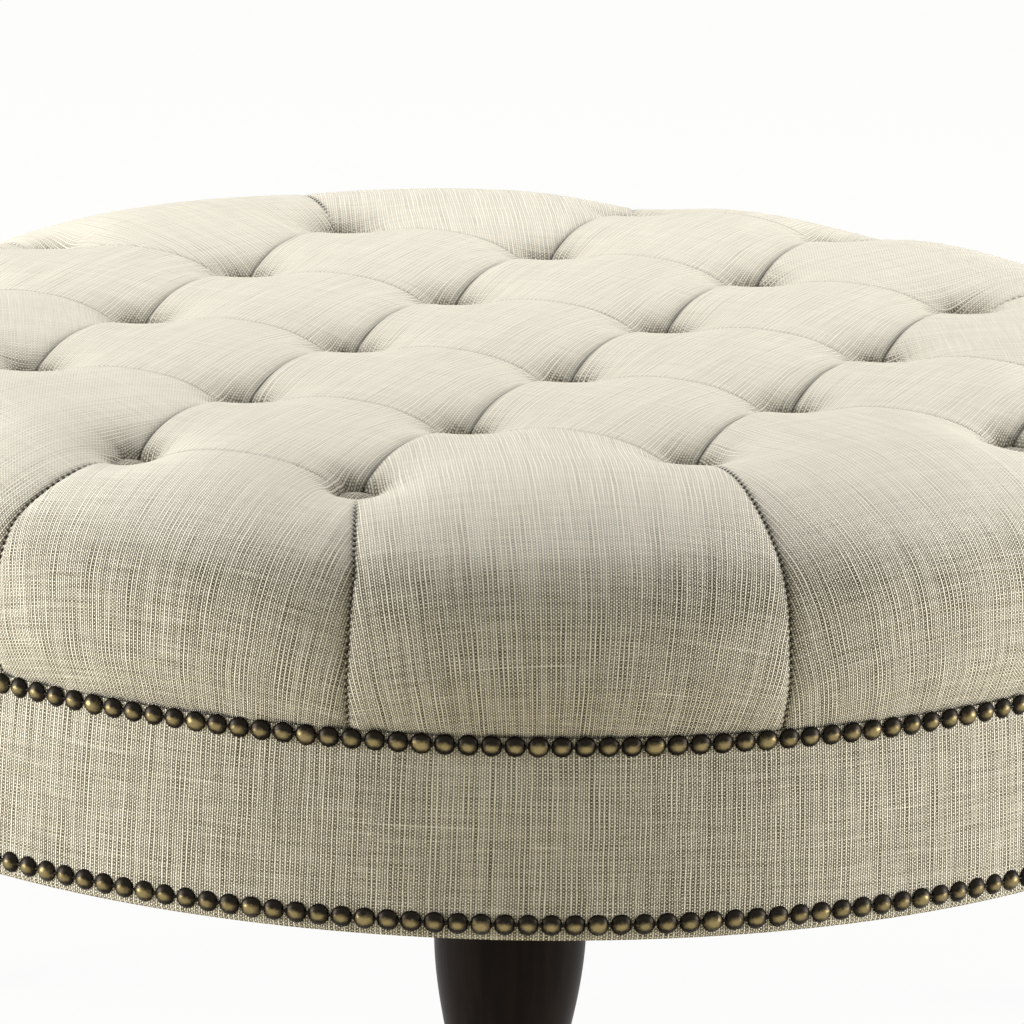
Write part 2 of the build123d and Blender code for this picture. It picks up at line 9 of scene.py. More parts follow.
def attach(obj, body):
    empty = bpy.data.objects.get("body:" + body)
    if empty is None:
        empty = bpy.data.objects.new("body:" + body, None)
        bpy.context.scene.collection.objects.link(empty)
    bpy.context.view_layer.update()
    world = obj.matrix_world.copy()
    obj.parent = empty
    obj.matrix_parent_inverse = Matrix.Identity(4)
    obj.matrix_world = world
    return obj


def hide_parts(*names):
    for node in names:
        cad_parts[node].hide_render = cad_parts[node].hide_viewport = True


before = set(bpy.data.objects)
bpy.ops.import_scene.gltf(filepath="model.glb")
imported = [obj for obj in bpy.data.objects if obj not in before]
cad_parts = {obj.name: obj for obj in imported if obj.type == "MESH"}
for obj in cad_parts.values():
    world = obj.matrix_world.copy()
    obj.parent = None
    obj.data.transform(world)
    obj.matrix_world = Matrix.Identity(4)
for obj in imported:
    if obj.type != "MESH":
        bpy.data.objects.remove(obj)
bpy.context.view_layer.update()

bl_info = {
    "name": "Tufted Ottoman Table",
    "version": (1, 0, 0),
    "blender": (4, 5, 0),
    "location": "View3D > Sidebar > Ottoman",
    "description": "Makes the cloth, trim, legs and studio of a round tufted ottoman coffee table",
    "category": "Object",
}

# Sizes of the frame, in metres
UPPER_ROW_Z = 0.315
LOWER_ROW_Z = 0.207
CREST_Z = 0.461
FRAME_Z = 0.198
DECK_TOP_Z = 0.324
WALL_RADIUS = 0.484          # cloth's face at the upper nail row
WALL_FLARE = 0.0704          # radius gained for each metre down
LEG_CIRCLE = 0.389
HEM_DEPTH = 0.0033           # cover's hem behind the band's face
HOLLOW_RADIUS = 0.472
HOLLOW_TOP_Z = 0.422
FILLING_FALL_REACH = 0.400   # where the fillings' tops start to fall towards the shoulder
FILLING_FALL = 0.044
BUTTON_FLOOR_Z = CREST_Z - 0.0315
BUTTON_RADIUS = 0.0125
BAND_MEAN_RADIUS = 0.488

# The seat's outline: a flat top, a roll that tightens, a bulge and a tuck behind the band
TOP_RADIUS = 0.358
SHOULDER_RADIUS = 0.4942
ROLL_DROP = 0.084            # from the crest to the roll's end
ROLL_RADIUS = 0.062          # of the roll's tight lower part
ROLL_END = math.radians(88)
BULGE = np.array((0.4953, 0.360))
TUCK = np.array((0.4841, 0.3212))
HEM_Z = 0.3203
COVER_LOW_Z = 0.299

# The cloth's grid: its two axes run along the pleats
GRID_TURN = math.radians(18.9 - 45)
CELL = 0.1524
HALF_CELLS = (-2.5, -1.5, -0.5, 0.5, 1.5, 2.5)
STEPS = 20                   # settling grid steps in one cell
REACH = 86                   # settling grid steps from the middle to its edge
FIELD_EDGE = 0.430           # where the pillows' grid gives way to the border's
BORDER_START = 0.436
BORDER_RINGS = 46
SEAM_FOOT = 0.490            # cloth's reach where a seam stops leaning
SEAM_LEAN = math.radians(2.6)

# Settling of the cloth
SWEEPS = 260
SWEEP_REACH = 1.6            # how far a sweep moves a place, where 1 is to its neighbours' mean
BUTTON_HOLD = 0.0115
LEAST_SAG = 0.0025
SETTLED_REACH = 0.535        # nothing sags past this reach

# Widths over which creases, lips and the painted shade marks fall away
CREASE_WIDTH = 0.0018
CROSS_SHARE = 0.30           # depth of the pleats that cross the lipped ones
PLEAT_FADE = 0.012
LIP_WIDTH = 0.0045
LIP_RISE_WIDTH = 0.011
LIP_FALL_WIDTH = 0.020
CREASE_SHADE_WIDTH = 0.0014
LIP_SHADE_WIDTH = 0.0013
STITCH_SHADE_WIDTH = 0.0017
SEAM_WIDTH = 0.030
SEAM_CREASE_WIDTH = 0.0022
SEAM_CLEAR, SEAM_FADE = 0.010, 0.045
SEAM_FOOT_FADE = 0.06
DEEP_SEAM_REACH, DEEP_SEAM_FADE = 0.40, 0.10
MOUTH_LENGTH, MOUTH_FADE = 0.050, 0.014
MOUTH_BLEND = 0.0012
MOUTH_SINK = 0.0035          # of a mouth's floor under the outline, at its seam's end
MOUTH_SLOPE = 22             # metres that a mouth's sides rise for each squared metre off its seam

# Offsets of the mesh's lines from a pleat and from a seam
PLEAT_OFFSETS = [x * 0.001 for x in (0, 0.7, 1.5, 2.6, 4, 5.8, 8, 10.8, 14, 17.8, 22, 26.6,
                                     31.6, 37, 42.8, 49, 55.6, 62.4, 69.3)]
SEAM_SHARES = (0, 0.004, 0.009, 0.016, 0.026, 0.04, 0.06, 0.086, 0.12, 0.16, 0.21, 0.27,
               0.34, 0.42, 0.51, 0.61, 0.71, 0.81, 0.91)

HEADS_UP, HEADS_LOW = 219, 222
NAIL_EVERY = 5

# Shares of each pattern of threads in the linen's relief
RIBS, ROWS, KNOTS, PAIRS = 0.24, 0.12, 0.34, 0.78
WARP_TONES, WEFT_TONES, SLUBS = 0.42, 0.36, 0.14

# The photograph's view of the table
VIEW_RISE = math.radians(15.126)
VIEW_DISTANCE = 10.052 * 0.486
VIEW_DIP = math.radians(14.969)
VIEW_SWING = math.radians(0.085)
VIEW_ROLL = math.radians(1.626)
VIEW_TURN = math.radians(-1.84)
VIEW_LENS = 263.2            # millimetres, on a 36 mm sensor


class Wire:
    """A node's output that Python's signs can add, subtract, multiply and divide."""

    def __init__(self, nodes, socket):
        self.nodes, self.socket = nodes, socket

    def maths(self, operation, *values):
        return self.nodes.maths(operation, self, *values)

    def __add__(self, other):
        return self.maths("ADD", other)

    def __sub__(self, other):
        return self.maths("SUBTRACT", other)

    def __rsub__(self, other):
        return self.nodes.maths("SUBTRACT", other, self)

    def __mul__(self, other):
        return self.maths("MULTIPLY", other)

    def __truediv__(self, other):
        return self.maths("DIVIDE", other)

    def softly(self, low, high):
        """Zero below low, one above high, smooth between."""
        return self.nodes.node("ShaderNodeMapRange", {"interpolation_type": "SMOOTHSTEP"},
                               {"Value": self, "From Min": low, "From Max": high})


class Nodes:
    """A node tree, with its nodes made and linked by Python's expressions."""

    def __init__(self, tree):
        self.tree = tree

    def node(self, kind, settings=None, inputs=None, output=0):
        """A node of a type, with its settings, then the values or links of its sockets."""
        made = self.tree.nodes.new(kind)
        for name, value in (settings or {}).items():
            setattr(made, name, value)
        for name, value in (inputs or {}).items():
            self.feed(made.inputs[name], value)
        return Wire(self, made.outputs[output])

    def feed(self, socket, value):
        if isinstance(value, Wire):
            self.tree.links.new(value.socket, socket)
        else:
            socket.default_value = value

    def maths(self, operation, *values):
        return self.node("ShaderNodeMath", {"operation": operation}, dict(enumerate(values)))

    def shaders(self, factor, first, second):
        """A mix of two shaders."""
        return self.node("ShaderNodeMixShader", inputs={0: factor, 1: first, 2: second})

    def seen_directly(self):
        """One for rays from the camera, off metal and through glass, zero for light on the object."""
        path = self.tree.nodes.new("ShaderNodeLightPath")
        camera, glossy, through = (Wire(self, path.outputs[name]) for name in
                                   ("Is Camera Ray", "Is Glossy Ray", "Is Transmission Ray"))
        return camera.maths("MAXIMUM", glossy).maths("MAXIMUM", through)


class Finish(Nodes):
    """One material, made from its shader's sockets."""

    def __init__(self, name, **sockets):
        self.material = bpy.data.materials.new(name)
        self.material.use_nodes = True
        super().__init__(self.material.node_tree)
        self.shader = next(n for n in self.tree.nodes if n.type == "BSDF_PRINCIPLED")
        self.set(**sockets)

    def set(self, **sockets):
        """Feeds the shader's sockets; an underscore stands for a blank."""
        for name, value in sockets.items():
            self.feed(self.shader.inputs[name.replace("_", " ")], value)

    def place(self):
        return self.node("ShaderNodeTexCoord", output="Object")

    def cloth_place(self):
        return self.node("ShaderNodeUVMap", {"uv_map": "weave"})

    def attribute(self, name):
        return self.node("ShaderNodeAttribute", {"attribute_name": name}, output="Fac")

    def parts(self, vector):
        split = self.tree.nodes.new("ShaderNodeSeparateXYZ")
        self.feed(split.inputs[0], vector)
        return [Wire(self, out) for out in split.outputs]

    def vector(self, x, y):
        return self.node("ShaderNodeCombineXYZ", inputs={0: x, 1: y})

    def scaled(self, vector, sizes):
        return self.node("ShaderNodeMapping", inputs={"Vector": vector, "Scale": sizes})

    def noise(self, vector, scale, detail=2.0, roughness=0.5):
        return self.node("ShaderNodeTexNoise", inputs={"Vector": vector, "Scale": scale, "Detail": detail,
                                                       "Roughness": roughness})

    def speckle(self, x, y):
        """Soft noise over two coordinates, one speckle to a unit."""
        return self.noise(self.vector(x, y), 1.0, 1.0)

    def blend(self, factor, first, second, how="MIX"):
        mixed = self.tree.nodes.new("ShaderNodeMix")
        mixed.data_type, mixed.blend_type = "RGBA", how
        for index, value in ((0, factor), (6, first), (7, second)):
            self.feed(mixed.inputs[index], value)
        return Wire(self, mixed.outputs[2])

    def bump(self, height, distance):
        self.set(Normal=self.node("ShaderNodeBump", inputs={"Height": height, "Distance": distance}))
        return self.material


def tone(colour):
    """A settings colour as a node's four numbers."""
    return (*colour, 1.0)


# Finishes

def linen(name, cloth, with_painted_shading=False):
    """Linen-look weave: warp and weft threads of uneven thickness, with slubs, light threads over near-black
    painted shade in the gaps between them.
    """
    finish = Finish(name, Roughness=0.92, Sheen_Weight=0.04, Sheen_Roughness=0.5, Specular_IOR_Level=0.12)
    across, along, _ = finish.parts(finish.cloth_place())
    sway = finish.speckle(across * 90, along * 45) - 0.5
    swing = finish.speckle(across * 45, along * 90) - 0.5
    u, v = across / cloth.warp_pitch + sway * 0.8, along / cloth.weft_pitch + swing * 0.8
    warp, weft = (u + 0.5).maths("FLOOR"), (v + 0.5).maths("FLOOR")
    over_two = (u * math.pi).maths("COSINE")
    ribs, rows = (u * math.tau).maths("COSINE"), (v * math.tau).maths("COSINE")
    knots = over_two * (v * math.pi).maths("COSINE")
    pairs = over_two * (finish.speckle(across * 150, along * 24) - 0.36)
    warp_tone = finish.speckle(warp * 3.7, along * 12) - 0.5
    weft_tone = finish.speckle(across * 26, weft * 3.7) - 0.5
    slub = finish.speckle(across * 9, weft * 5.3).softly(0.66, 0.76)
    light = ribs * RIBS + rows * ROWS + knots * KNOTS + pairs * PAIRS
    light = light + warp_tone * WARP_TONES + weft_tone * WEFT_TONES + slub * SLUBS
    if with_painted_shading:
        # painted light: where the cloth faces up, the weave's painted gap shade is lifted and evened out, as
        # overhead light fills the gaps
        facing = finish.attribute("facing")
        light = light * (1 - facing * 0.55) + facing * 0.20
    light = light + 0.5
    # painted shade: the threads blend down to a near-black colour in the gaps between them
    colour = finish.blend(light.softly(0.08, 0.92), tone(cloth.ground_shade), tone(cloth.thread))
    patches = finish.noise(finish.place(), 5.0, 3.0)
    colour = finish.blend(patches * 0.04, colour, tone(cloth.ground_shade), "MULTIPLY")
    if with_painted_shading:
        # painted shade: near-black dashes along each seam, at the stitches' pitch, for the shade in the
        # seam's line and its stitch holes
        dashes = (along * (math.tau / cloth.stitch_pitch)).maths("SINE").softly(-0.35, 0.25)
        # painted shade: near-black in the pleats' creases and under the pillows' lips
        colour = finish.blend(finish.attribute("crease_shade") * 0.95, colour, tone((0.02, 0.017, 0.012)))
        colour = finish.blend(finish.attribute("stitch_shade") * (dashes * 0.97 + 0.02), colour,
                              tone((0.012, 0.010, 0.007)))
    finish.set(Base_Color=colour)
    return finish.bump(light, cloth.thread_height)


def plain_cloth(name, colour, pitch=0.0006):
    """Plain woven or bonded cloth of one colour."""
    finish = Finish(name, Roughness=0.95)
    x, y, _ = finish.parts(finish.place())
    ribs = (x / pitch).maths("SINE") * (y / pitch).maths("SINE")
    fibres = finish.noise(finish.place(), 900.0, 3.0)
    finish.set(Base_Color=finish.blend(fibres, tone(colour), tone([c * 0.55 for c in colour])))
    return finish.bump(ribs * 0.4 + fibres, 0.0004)


def soft_fill(name, colour, grain):
    """Foam or wadding: pale, dull and open."""
    finish = Finish(name, Roughness=0.98)
    cells = finish.node("ShaderNodeTexVoronoi", inputs={"Vector": finish.place(), "Scale": grain})
    fluff = finish.noise(finish.place(), grain * 0.3, 4.0)
    finish.set(Base_Color=finish.blend(fluff, tone(colour), tone([c * 0.8 for c in colour])))
    return finish.bump(cells + fluff, 0.0008)


def wood(name, pale, dark, rings=60.0, rough=0.6):
    """Raw timber: grain along X with fine pores."""
    finish = Finish(name)
    place = finish.place()
    warped = finish.noise(finish.scaled(place, (2.0, 14.0, 14.0)), 1.0, 3.0)
    _, y, z = finish.parts(place)
    bands = ((y + z * 0.6) * rings + warped * 6.0).maths("SINE") * 0.5 + 0.5
    pores = finish.noise(finish.scaled(place, (30.0, 900.0, 900.0)), 1.0, 2.0)
    grain = bands * 0.6 + pores * 0.4
    finish.set(Base_Color=finish.blend(grain, tone(pale), tone(dark)), Roughness=pores * 0.2 + rough)
    return finish.bump(pores, 0.0003)


def plywood(name, pale, dark, layer=0.0015):
    """Board with stripes of its layers on the edge and open grain on the face."""
    finish = Finish(name)
    place = finish.place()
    z = finish.parts(place)[2]
    plies = (z / layer).maths("SINE").softly(-0.2, 0.2)
    grain = finish.noise(finish.scaled(place, (4.0, 60.0, 60.0)), 1.0, 4.0)
    pores = finish.noise(finish.scaled(place, (60.0, 1200.0, 1200.0)), 1.0, 1.0)
    finish.set(Base_Color=finish.blend(plies * 0.35 + grain * 0.6, tone(pale), tone(dark)),
               Roughness=pores * 0.2 + 0.6)
    return finish.bump(pores + plies * 0.3, 0.0002)


def metal(name, colour, rough=0.35, wear=0.15):
    """Plated steel with fine scratches and duller patches."""
    finish = Finish(name, Metallic=1.0)
    place = finish.place()
    patches = finish.noise(place, 120.0, 4.0)
    scratches = finish.noise(finish.scaled(place, (900.0, 900.0, 60.0)), 1.0, 2.0)
    dull = tone([c * 0.6 for c in colour])
    finish.set(Base_Color=finish.blend(patches.softly(0.35, 0.7), tone(colour), dull),
               Roughness=patches * wear * 2 + rough - wear * 0.5)
    return finish.bump(scratches, 0.00005)


def antique_brass(name, trim, sheen=0.0):
    """Dark bronzed brass, rubbed through to gold in random spots, with a painted gold reflection low across
    the middle of each head.
    """
    finish = Finish(name, Metallic=1.0)
    place = finish.place()
    spots = finish.noise(place, 260.0, 4.0, 0.6)
    rubbed = finish.noise(place, 620.0, 2.0)
    # painted reflection: a gold patch low across the middle of each head
    painted_reflection = finish.attribute("painted_reflection")
    mask = (spots * 0.35 + rubbed * 0.25 + painted_reflection * 0.68 + sheen - 0.42).softly(0.0, 0.55)
    finish.set(Base_Color=finish.blend(mask, tone(trim.dark), tone(trim.bright)),
               Roughness=0.36 - mask * 0.10 + spots * 0.08)
    return finish.bump(spots + rubbed * 0.5, 0.00012)


def leg_lacquer(name, legs):
    """Near-black espresso lacquer with the wood's grain just showing."""
    finish = Finish(name, Coat_Weight=0.03, Coat_Roughness=0.2, Specular_IOR_Level=0.05)
    place = finish.place()
    grain = finish.noise(finish.scaled(place, (160.0, 160.0, 5.0)), 1.0, 3.0)
    pores = finish.noise(finish.scaled(place, (900.0, 900.0, 30.0)), 1.0, 2.0)
    finish.set(Base_Color=finish.blend(grain.softly(0.35, 0.7), tone(legs.dark), tone(legs.grain)),
               Roughness=grain * 0.12 + 0.34)
    return finish.bump(grain * 0.6 + pores * 0.4, 0.00012)


# Pieces

def as_mesh(name, bm):
    """Turns a bmesh into a mesh, and frees it."""
    mesh = bpy.data.meshes.new(name)
    bm.to_mesh(mesh)
    bm.free()
    return mesh


def keep(name, bm, material, slot, replaced=(), smooth_faces=True):
    """Turns a bmesh into a piece of the table that rides on its frame."""
    mesh = as_mesh(name, bm)
    if smooth_faces:
        mesh.polygons.foreach_set("use_smooth", [True] * len(mesh.polygons))
    mesh.materials.append(material)
    piece = bpy.data.objects.new(name, mesh)
    bpy.context.scene.collection.objects.link(piece)
    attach(piece, "root")
    if replaced:
        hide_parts(*replaced)
    return piece


def turned(points, steps, bm=None):
    """A profile of (radius, height) points spun about Z."""
    bm = bm or bmesh.new()
    verts = [bm.verts.new((r, 0, z)) for r, z in points]
    edges = [bm.edges.new(pair) for pair in zip(verts, verts[1:])]
    bmesh.ops.spin(bm, geom=verts + edges, cent=(0, 0, 0), axis=(0, 0, 1), angle=math.tau,
                   steps=steps, use_merge=True)
    bmesh.ops.remove_doubles(bm, verts=bm.verts, dist=1e-6)
    bmesh.ops.recalc_face_normals(bm, faces=bm.faces)
    return bm


def repeated(pattern, places):
    """One bmesh with a copy of a pattern at each place, and frees the pattern."""
    mesh = as_mesh("pattern", pattern)
    bm = bmesh.new()
    for place in places:
        start = len(bm.verts)
        bm.from_mesh(mesh)
        bm.verts.ensure_lookup_table()
        bmesh.ops.transform(bm, matrix=place, verts=bm.verts[start:])
    bpy.data.meshes.remove(mesh)
    return bm


def wall(z, depth=0.0):
    """Radius of the flared wall at a height, at a depth behind the cloth's face."""
    return WALL_RADIUS + (UPPER_ROW_Z - z) * WALL_FLARE - depth


def button_places():
    """Buttons on the cloth, in cells along the two pleat directions."""
    return [(s, t) for s in HALF_CELLS for t in HALF_CELLS if math.hypot(s, t) < 2.6]


def outer_buttons():
    """The buttons where the border's seams start, in turning order."""
    rim = [(s, t) for s, t in button_places() if math.hypot(s, t) > 2.0]
    return sorted(rim, key=lambda b: math.atan2(b[1], b[0]))


def pleat_reach(line):
    """How far the pleats on a grid line run to each side of the middle, in cells."""
    return 3 - abs(line)


class Seam:
    """One seam of the border, from its button over the roll and down to the nails."""

    def __init__(self, s, t):
        self.start = math.hypot(s, t) * CELL
        self.angle = math.atan2(t, s)
        diagonal = math.radians(45) + math.radians(90) * math.floor(self.angle / math.radians(90))
        off = diagonal - self.angle
        self.lean = 0.0 if abs(off) < 1e-6 else math.copysign(SEAM_LEAN, off)
        foot = self.angle + self.lean
        self.button = np.array((math.cos(self.angle), math.sin(self.angle))) * self.start
        self.foot = np.array((math.cos(foot), math.sin(foot))) * SEAM_FOOT
        self.along = (self.foot - self.button) / np.linalg.norm(self.foot - self.button)

    def angle_at(self, reach):
        """The seam's angle where the cloth's reach from the middle is given."""
        reach = np.minimum(reach, SEAM_FOOT)
        lead = self.button @ self.along
        side = self.button[1] * self.along[0] - self.button[0] * self.along[1]
        run = np.sqrt(np.maximum(reach * reach - side * side, 0.0))
        return np.arctan2(self.along[1], self.along[0]) + np.arctan2(side, np.maximum(run, lead))


def turn_between(first, second):
    """Angle from second to first, between minus and plus half a turn."""
    return (first - second + math.pi) % math.tau - math.pi


def smooth(share):
    """A share from 0 to 1 with level ends."""
    return share * share * (3 - 2 * share)


def curve_between(start, end, leaving, arriving):
    """Points after the start of a curve between two points, with its slopes at both."""
    points = []
    for x in np.linspace(0, 1, 22)[1:]:
        h = (2 * x**3 - 3 * x**2 + 1, x**3 - 2 * x**2 + x, -2 * x**3 + 3 * x**2, x**3 - x**2)
        points.append(tuple(h[0] * start + h[1] * np.array(leaving) + h[2] * end + h[3] * np.array(arriving)))
    return points


class Seat:
    """The cover's surface: places on the flat cloth in, places on the seat out."""

    def __init__(self, settings):
        self.settings = settings
        self.seams = [Seam(s, t) for s, t in outer_buttons()]
        self._outline()
        self._settle()

    def _outline(self):
        """Half outline of the seat by its length from the middle."""
        run = SHOULDER_RADIUS - TOP_RADIUS
        wide = (run * run + ROLL_DROP * ROLL_DROP - 2 * run * ROLL_RADIUS) / (2 * (ROLL_DROP - ROLL_RADIUS))
        turn = math.atan2(run - ROLL_RADIUS, wide - ROLL_DROP)
        points = [(0.0, CREST_Z), (TOP_RADIUS, CREST_Z)]
        points += [(TOP_RADIUS + wide * math.sin(a), CREST_Z - wide + wide * math.cos(a))
                   for a in np.linspace(0, turn, 24)[1:]]
        middle = (points[-1][0] - ROLL_RADIUS * math.sin(turn), points[-1][1] - ROLL_RADIUS * math.cos(turn))
        points += [(middle[0] + ROLL_RADIUS * math.sin(a), middle[1] + ROLL_RADIUS * math.cos(a))
                   for a in np.linspace(turn, ROLL_END, 20)[1:]]
        points += curve_between(np.array(points[-1]), BULGE, (0.001, -0.022), (0.0, -0.022))
        points += curve_between(BULGE, TUCK, (0.0, -0.050), (-0.015, -0.040))
        points += [(wall(HEM_Z, 0.0008), HEM_Z + 0.0004), (wall(HEM_Z, HEM_DEPTH - 0.0006), HEM_Z),
                   (wall(HEM_Z, HEM_DEPTH), HEM_Z - 0.0006), (wall(0.309, HEM_DEPTH), 0.309),
                   (wall(COVER_LOW_Z, HEM_DEPTH), COVER_LOW_Z)]
        line = np.array(points)
        length = np.concatenate(([0], np.cumsum(np.linalg.norm(np.diff(line, axis=0), axis=1))))
        self.end = length[-1]
        self.nail_line = length[len(points) - 6]
        self.reach = np.linspace(0, self.end, 3001)
        self.line = np.stack([np.interp(self.reach, length, line[:, k]) for k in (0, 1)], 1)
        kernel = np.ones(25) / 25
        slope = np.gradient(self.line, self.reach, axis=0)
        slope = np.stack([np.convolve(np.pad(slope[:, k], 12, mode="edge"), kernel, "valid")
                          for k in (0, 1)], 1)
        slope /= np.linalg.norm(slope, axis=1, keepdims=True)
        self.normal = np.stack((-slope[:, 1], slope[:, 0]), 1)

    def _settle(self):
        """Sag of the cloth on an even grid: held at pleats and buttons, and drawn smooth between them."""
        knobs = self.settings
        size = 2 * REACH + 1
        step = CELL / STEPS
        sag = np.zeros((size, size))
        held = np.zeros((size, size), bool)
        axis = (np.arange(size) - REACH) * step
        s, t = np.meshgrid(axis, axis, indexing="ij")
        for line in HALF_CELLS:
            row = REACH + int(line * STEPS)
            reach = int(pleat_reach(line) * STEPS)
            run = np.arange(REACH - reach, REACH + reach + 1)
            share = np.abs((run - REACH - STEPS / 2) % STEPS / STEPS * 2 - 1)
            share = np.where((run - REACH - STEPS // 2) % STEPS == 0, 1.0, share)
            dip = knobs.pleat_dip + (knobs.button_dip - knobs.pleat_dip) * share ** knobs.dip_power
            for index in ((row, run), (run, row)):
                fallen = CREST_Z - np.interp(np.hypot(s[index], t[index]), self.reach, self.line[:, 1])
                sag[index] = np.maximum(sag[index], np.maximum(dip - fallen, LEAST_SAG))
                held[index] = True
        for u, v in button_places():
            near = np.hypot(s - u * CELL, t - v * CELL) < BUTTON_HOLD
            outline_z = np.interp(math.hypot(u, v) * CELL, self.reach, self.line[:, 1])
            sag[near] = knobs.button_dip - CREST_Z + outline_z
            held[near] = True
        held |= np.hypot(s, t) > SETTLED_REACH
        stiff = 4 + (step / knobs.pillow_reach) ** 2
        colour = np.add.outer(np.arange(size), np.arange(size)) % 2
        for _ in range(SWEEPS):
            for phase in (0, 1):
                around = np.zeros_like(sag)
                around[1:-1, 1:-1] = sag[2:, 1:-1] + sag[:-2, 1:-1] + sag[1:-1, 2:] + sag[1:-1, :-2]
                free = ~held & (colour == phase)
                sag[free] += SWEEP_REACH * (around[free] / stiff - sag[free])
        self.grid = self.lay(s, t, sag)

    def lay(self, s, t, sag):
        """Places on the seat for places on the flat cloth, sunk by their sag."""
        reach = np.hypot(s, t)
        angle = np.arctan2(t, s) + GRID_TURN
        r, z = (np.interp(reach, self.reach, self.line[:, k])
                - sag * np.interp(reach, self.reach, self.normal[:, k]) for k in (0, 1))
        return np.stack((r * np.cos(angle), r * np.sin(angle), z), -1)

    def at(self, s, t):
        """Places of the settled cloth, smooth within each pillow and creased at its edges."""
        step = CELL / STEPS
        picks, weights = [], []
        for value in (s, t):
            x = np.clip(value / step + REACH, 0, 2 * REACH - 1e-6)
            base = np.floor(x).astype(int)
            x = x - base
            w = np.stack((-x**3 + 2 * x**2 - x, 3 * x**3 - 5 * x**2 + 2,
                          -3 * x**3 + 4 * x**2 + x, x**3 - x**2), 0) / 2
            place = (base - REACH - STEPS // 2) % STEPS
            first, last = (place == 0) | (base == 0), (place == STEPS - 1) | (base == 2 * REACH - 1)
            edge = np.where(first, w[0], 0)
            w = w + edge * np.array((-1, 3, -3, 1)).reshape(4, 1)
            edge = np.where(last, w[3], 0)
            w = w + edge * np.array((1, -3, 3, -1)).reshape(4, 1)
            picks.append(np.clip(base + np.arange(-1, 3).reshape(4, 1), 0, 2 * REACH))
            weights.append(w)
        out = np.zeros(s.shape + (3,))
        for a in range(4):
            for b in range(4):
                out += (weights[0][a] * weights[1][b])[:, None] * self.grid[picks[0][a], picks[1][b]]
        return out

    def seam_distance(self, s, t):
        """Signed distance along the surface to the nearest seam, and how far that seam has started."""
        reach, angle = np.hypot(s, t), np.arctan2(t, s)
        radius = np.interp(reach, self.reach, self.line[:, 0])
        best, begun = np.full(s.shape, 9.0), np.zeros(s.shape)
        for seam in self.seams:
            gap = turn_between(angle, seam.angle_at(reach)) * radius
            closer = (np.abs(gap) < np.abs(best)) & (reach > seam.start)
            best = np.where(closer, gap, best)
            begun = np.where(closer, reach - seam.start, begun)
        return best, begun

    def surface(self, s, t):
        """Places on the finished cover, how much painted shade each takes in a crease or under a lip, and how
        near a seam each is for the painted shade along the stitches, from 0 to 1.
        """
        place = self.at(s, t)
        gap, inside, lipped = self._crease(place, s, t, 1.0)
        lip = self._lip(place, gap, inside)
        crossing = self._crease(place, t, s, CROSS_SHARE)[2]
        # painted shade: the darkest of the crease and lip shade marks
        return place, np.maximum(np.maximum(lipped, lip), crossing), self._seams(place, s, t)

    def _crease(self, place, across, along, share):
        """Sinks one direction's pleats; gives the gap to them, how far inside they are, and the painted shade
        in their creases.
        """
        line = np.clip(np.round(across / CELL - 0.5) + 0.5, HALF_CELLS[0], HALF_CELLS[-1])
        gap = across - line * CELL
        inside = smooth(np.clip((pleat_reach(line) * CELL - np.abs(along)) / PLEAT_FADE, 0, 1))
        place[:, 2] -= self.settings.crease_depth * share * inside * np.exp(-np.abs(gap) / CREASE_WIDTH)
        return gap, inside, share ** 1.6 * inside * np.exp(-(gap / CREASE_SHADE_WIDTH) ** 2)

    def _lip(self, place, gap, inside):
        """Lays one pillow's lip over the next pillow along each pleat; gives the painted shade under the
        lips' edges.
        """
        knobs = self.settings
        turn = np.array((math.cos(GRID_TURN), math.sin(GRID_TURN), 0))
        upper = np.where(gap > 1e-5, inside, 0.0)
        place -= (knobs.lip_overlap * upper * np.exp(-np.abs(gap) / LIP_WIDTH))[:, None] * turn
        place[:, 2] += knobs.lip_rise * upper * np.exp(-np.abs(gap) / LIP_RISE_WIDTH)
        place[:, 2] -= 2 * knobs.lip_rise * (inside - upper) * np.exp(-np.abs(gap) / LIP_FALL_WIDTH)
        return inside * np.exp(-((gap + knobs.lip_overlap) / LIP_SHADE_WIDTH) ** 2)

    def _seams(self, place, s, t):
        """Draws the border in along its seams; gives the painted shade along the seams' stitches."""
        knobs = self.settings
        gap, begun = self.seam_distance(s, t)
        reach, angle = np.hypot(s, t), np.arctan2(t, s) + GRID_TURN
        lower = np.clip((self.nail_line - reach) / SEAM_FOOT_FADE, 0, 1)
        upper = np.clip((reach - DEEP_SEAM_REACH) / DEEP_SEAM_FADE, 0, 1)
        start = smooth(np.clip((begun - SEAM_CLEAR) / SEAM_FADE, 0, 1))
        wide = knobs.seam_dip * np.exp(-(np.abs(gap) / SEAM_WIDTH) ** 1.2) * lower * (0.15 + 0.85 * upper)
        narrow = knobs.seam_crease * np.exp(-np.abs(gap) / SEAM_CREASE_WIDTH)
        sunk = (wide + narrow) * start * (reach < self.nail_line + 0.004)
        out, up = (np.interp(reach, self.reach, self.normal[:, k]) for k in (0, 1))
        place -= sunk[:, None] * np.stack((out * np.cos(angle), out * np.sin(angle), up), -1)
        share = np.clip(1 - begun / MOUTH_LENGTH, 0, 1)
        trough = np.interp(reach, self.reach, self.line[:, 1]) - MOUTH_SINK - knobs.seam_mouth * share ** 1.3
        over = (place[:, 2] - trough - MOUTH_SLOPE * gap * gap) / MOUTH_BLEND
        mouth = np.clip(begun / MOUTH_FADE, 0, 1) * np.clip(share / 0.5, 0, 1)
        place[:, 2] -= np.log1p(np.exp(np.clip(over, -30, 30))) * MOUTH_BLEND * mouth * (begun > 0)
        # painted shade along each seam's line, which the linen breaks into dashes
        return start * np.exp(-(gap / STITCH_SHADE_WIDTH) ** 2)


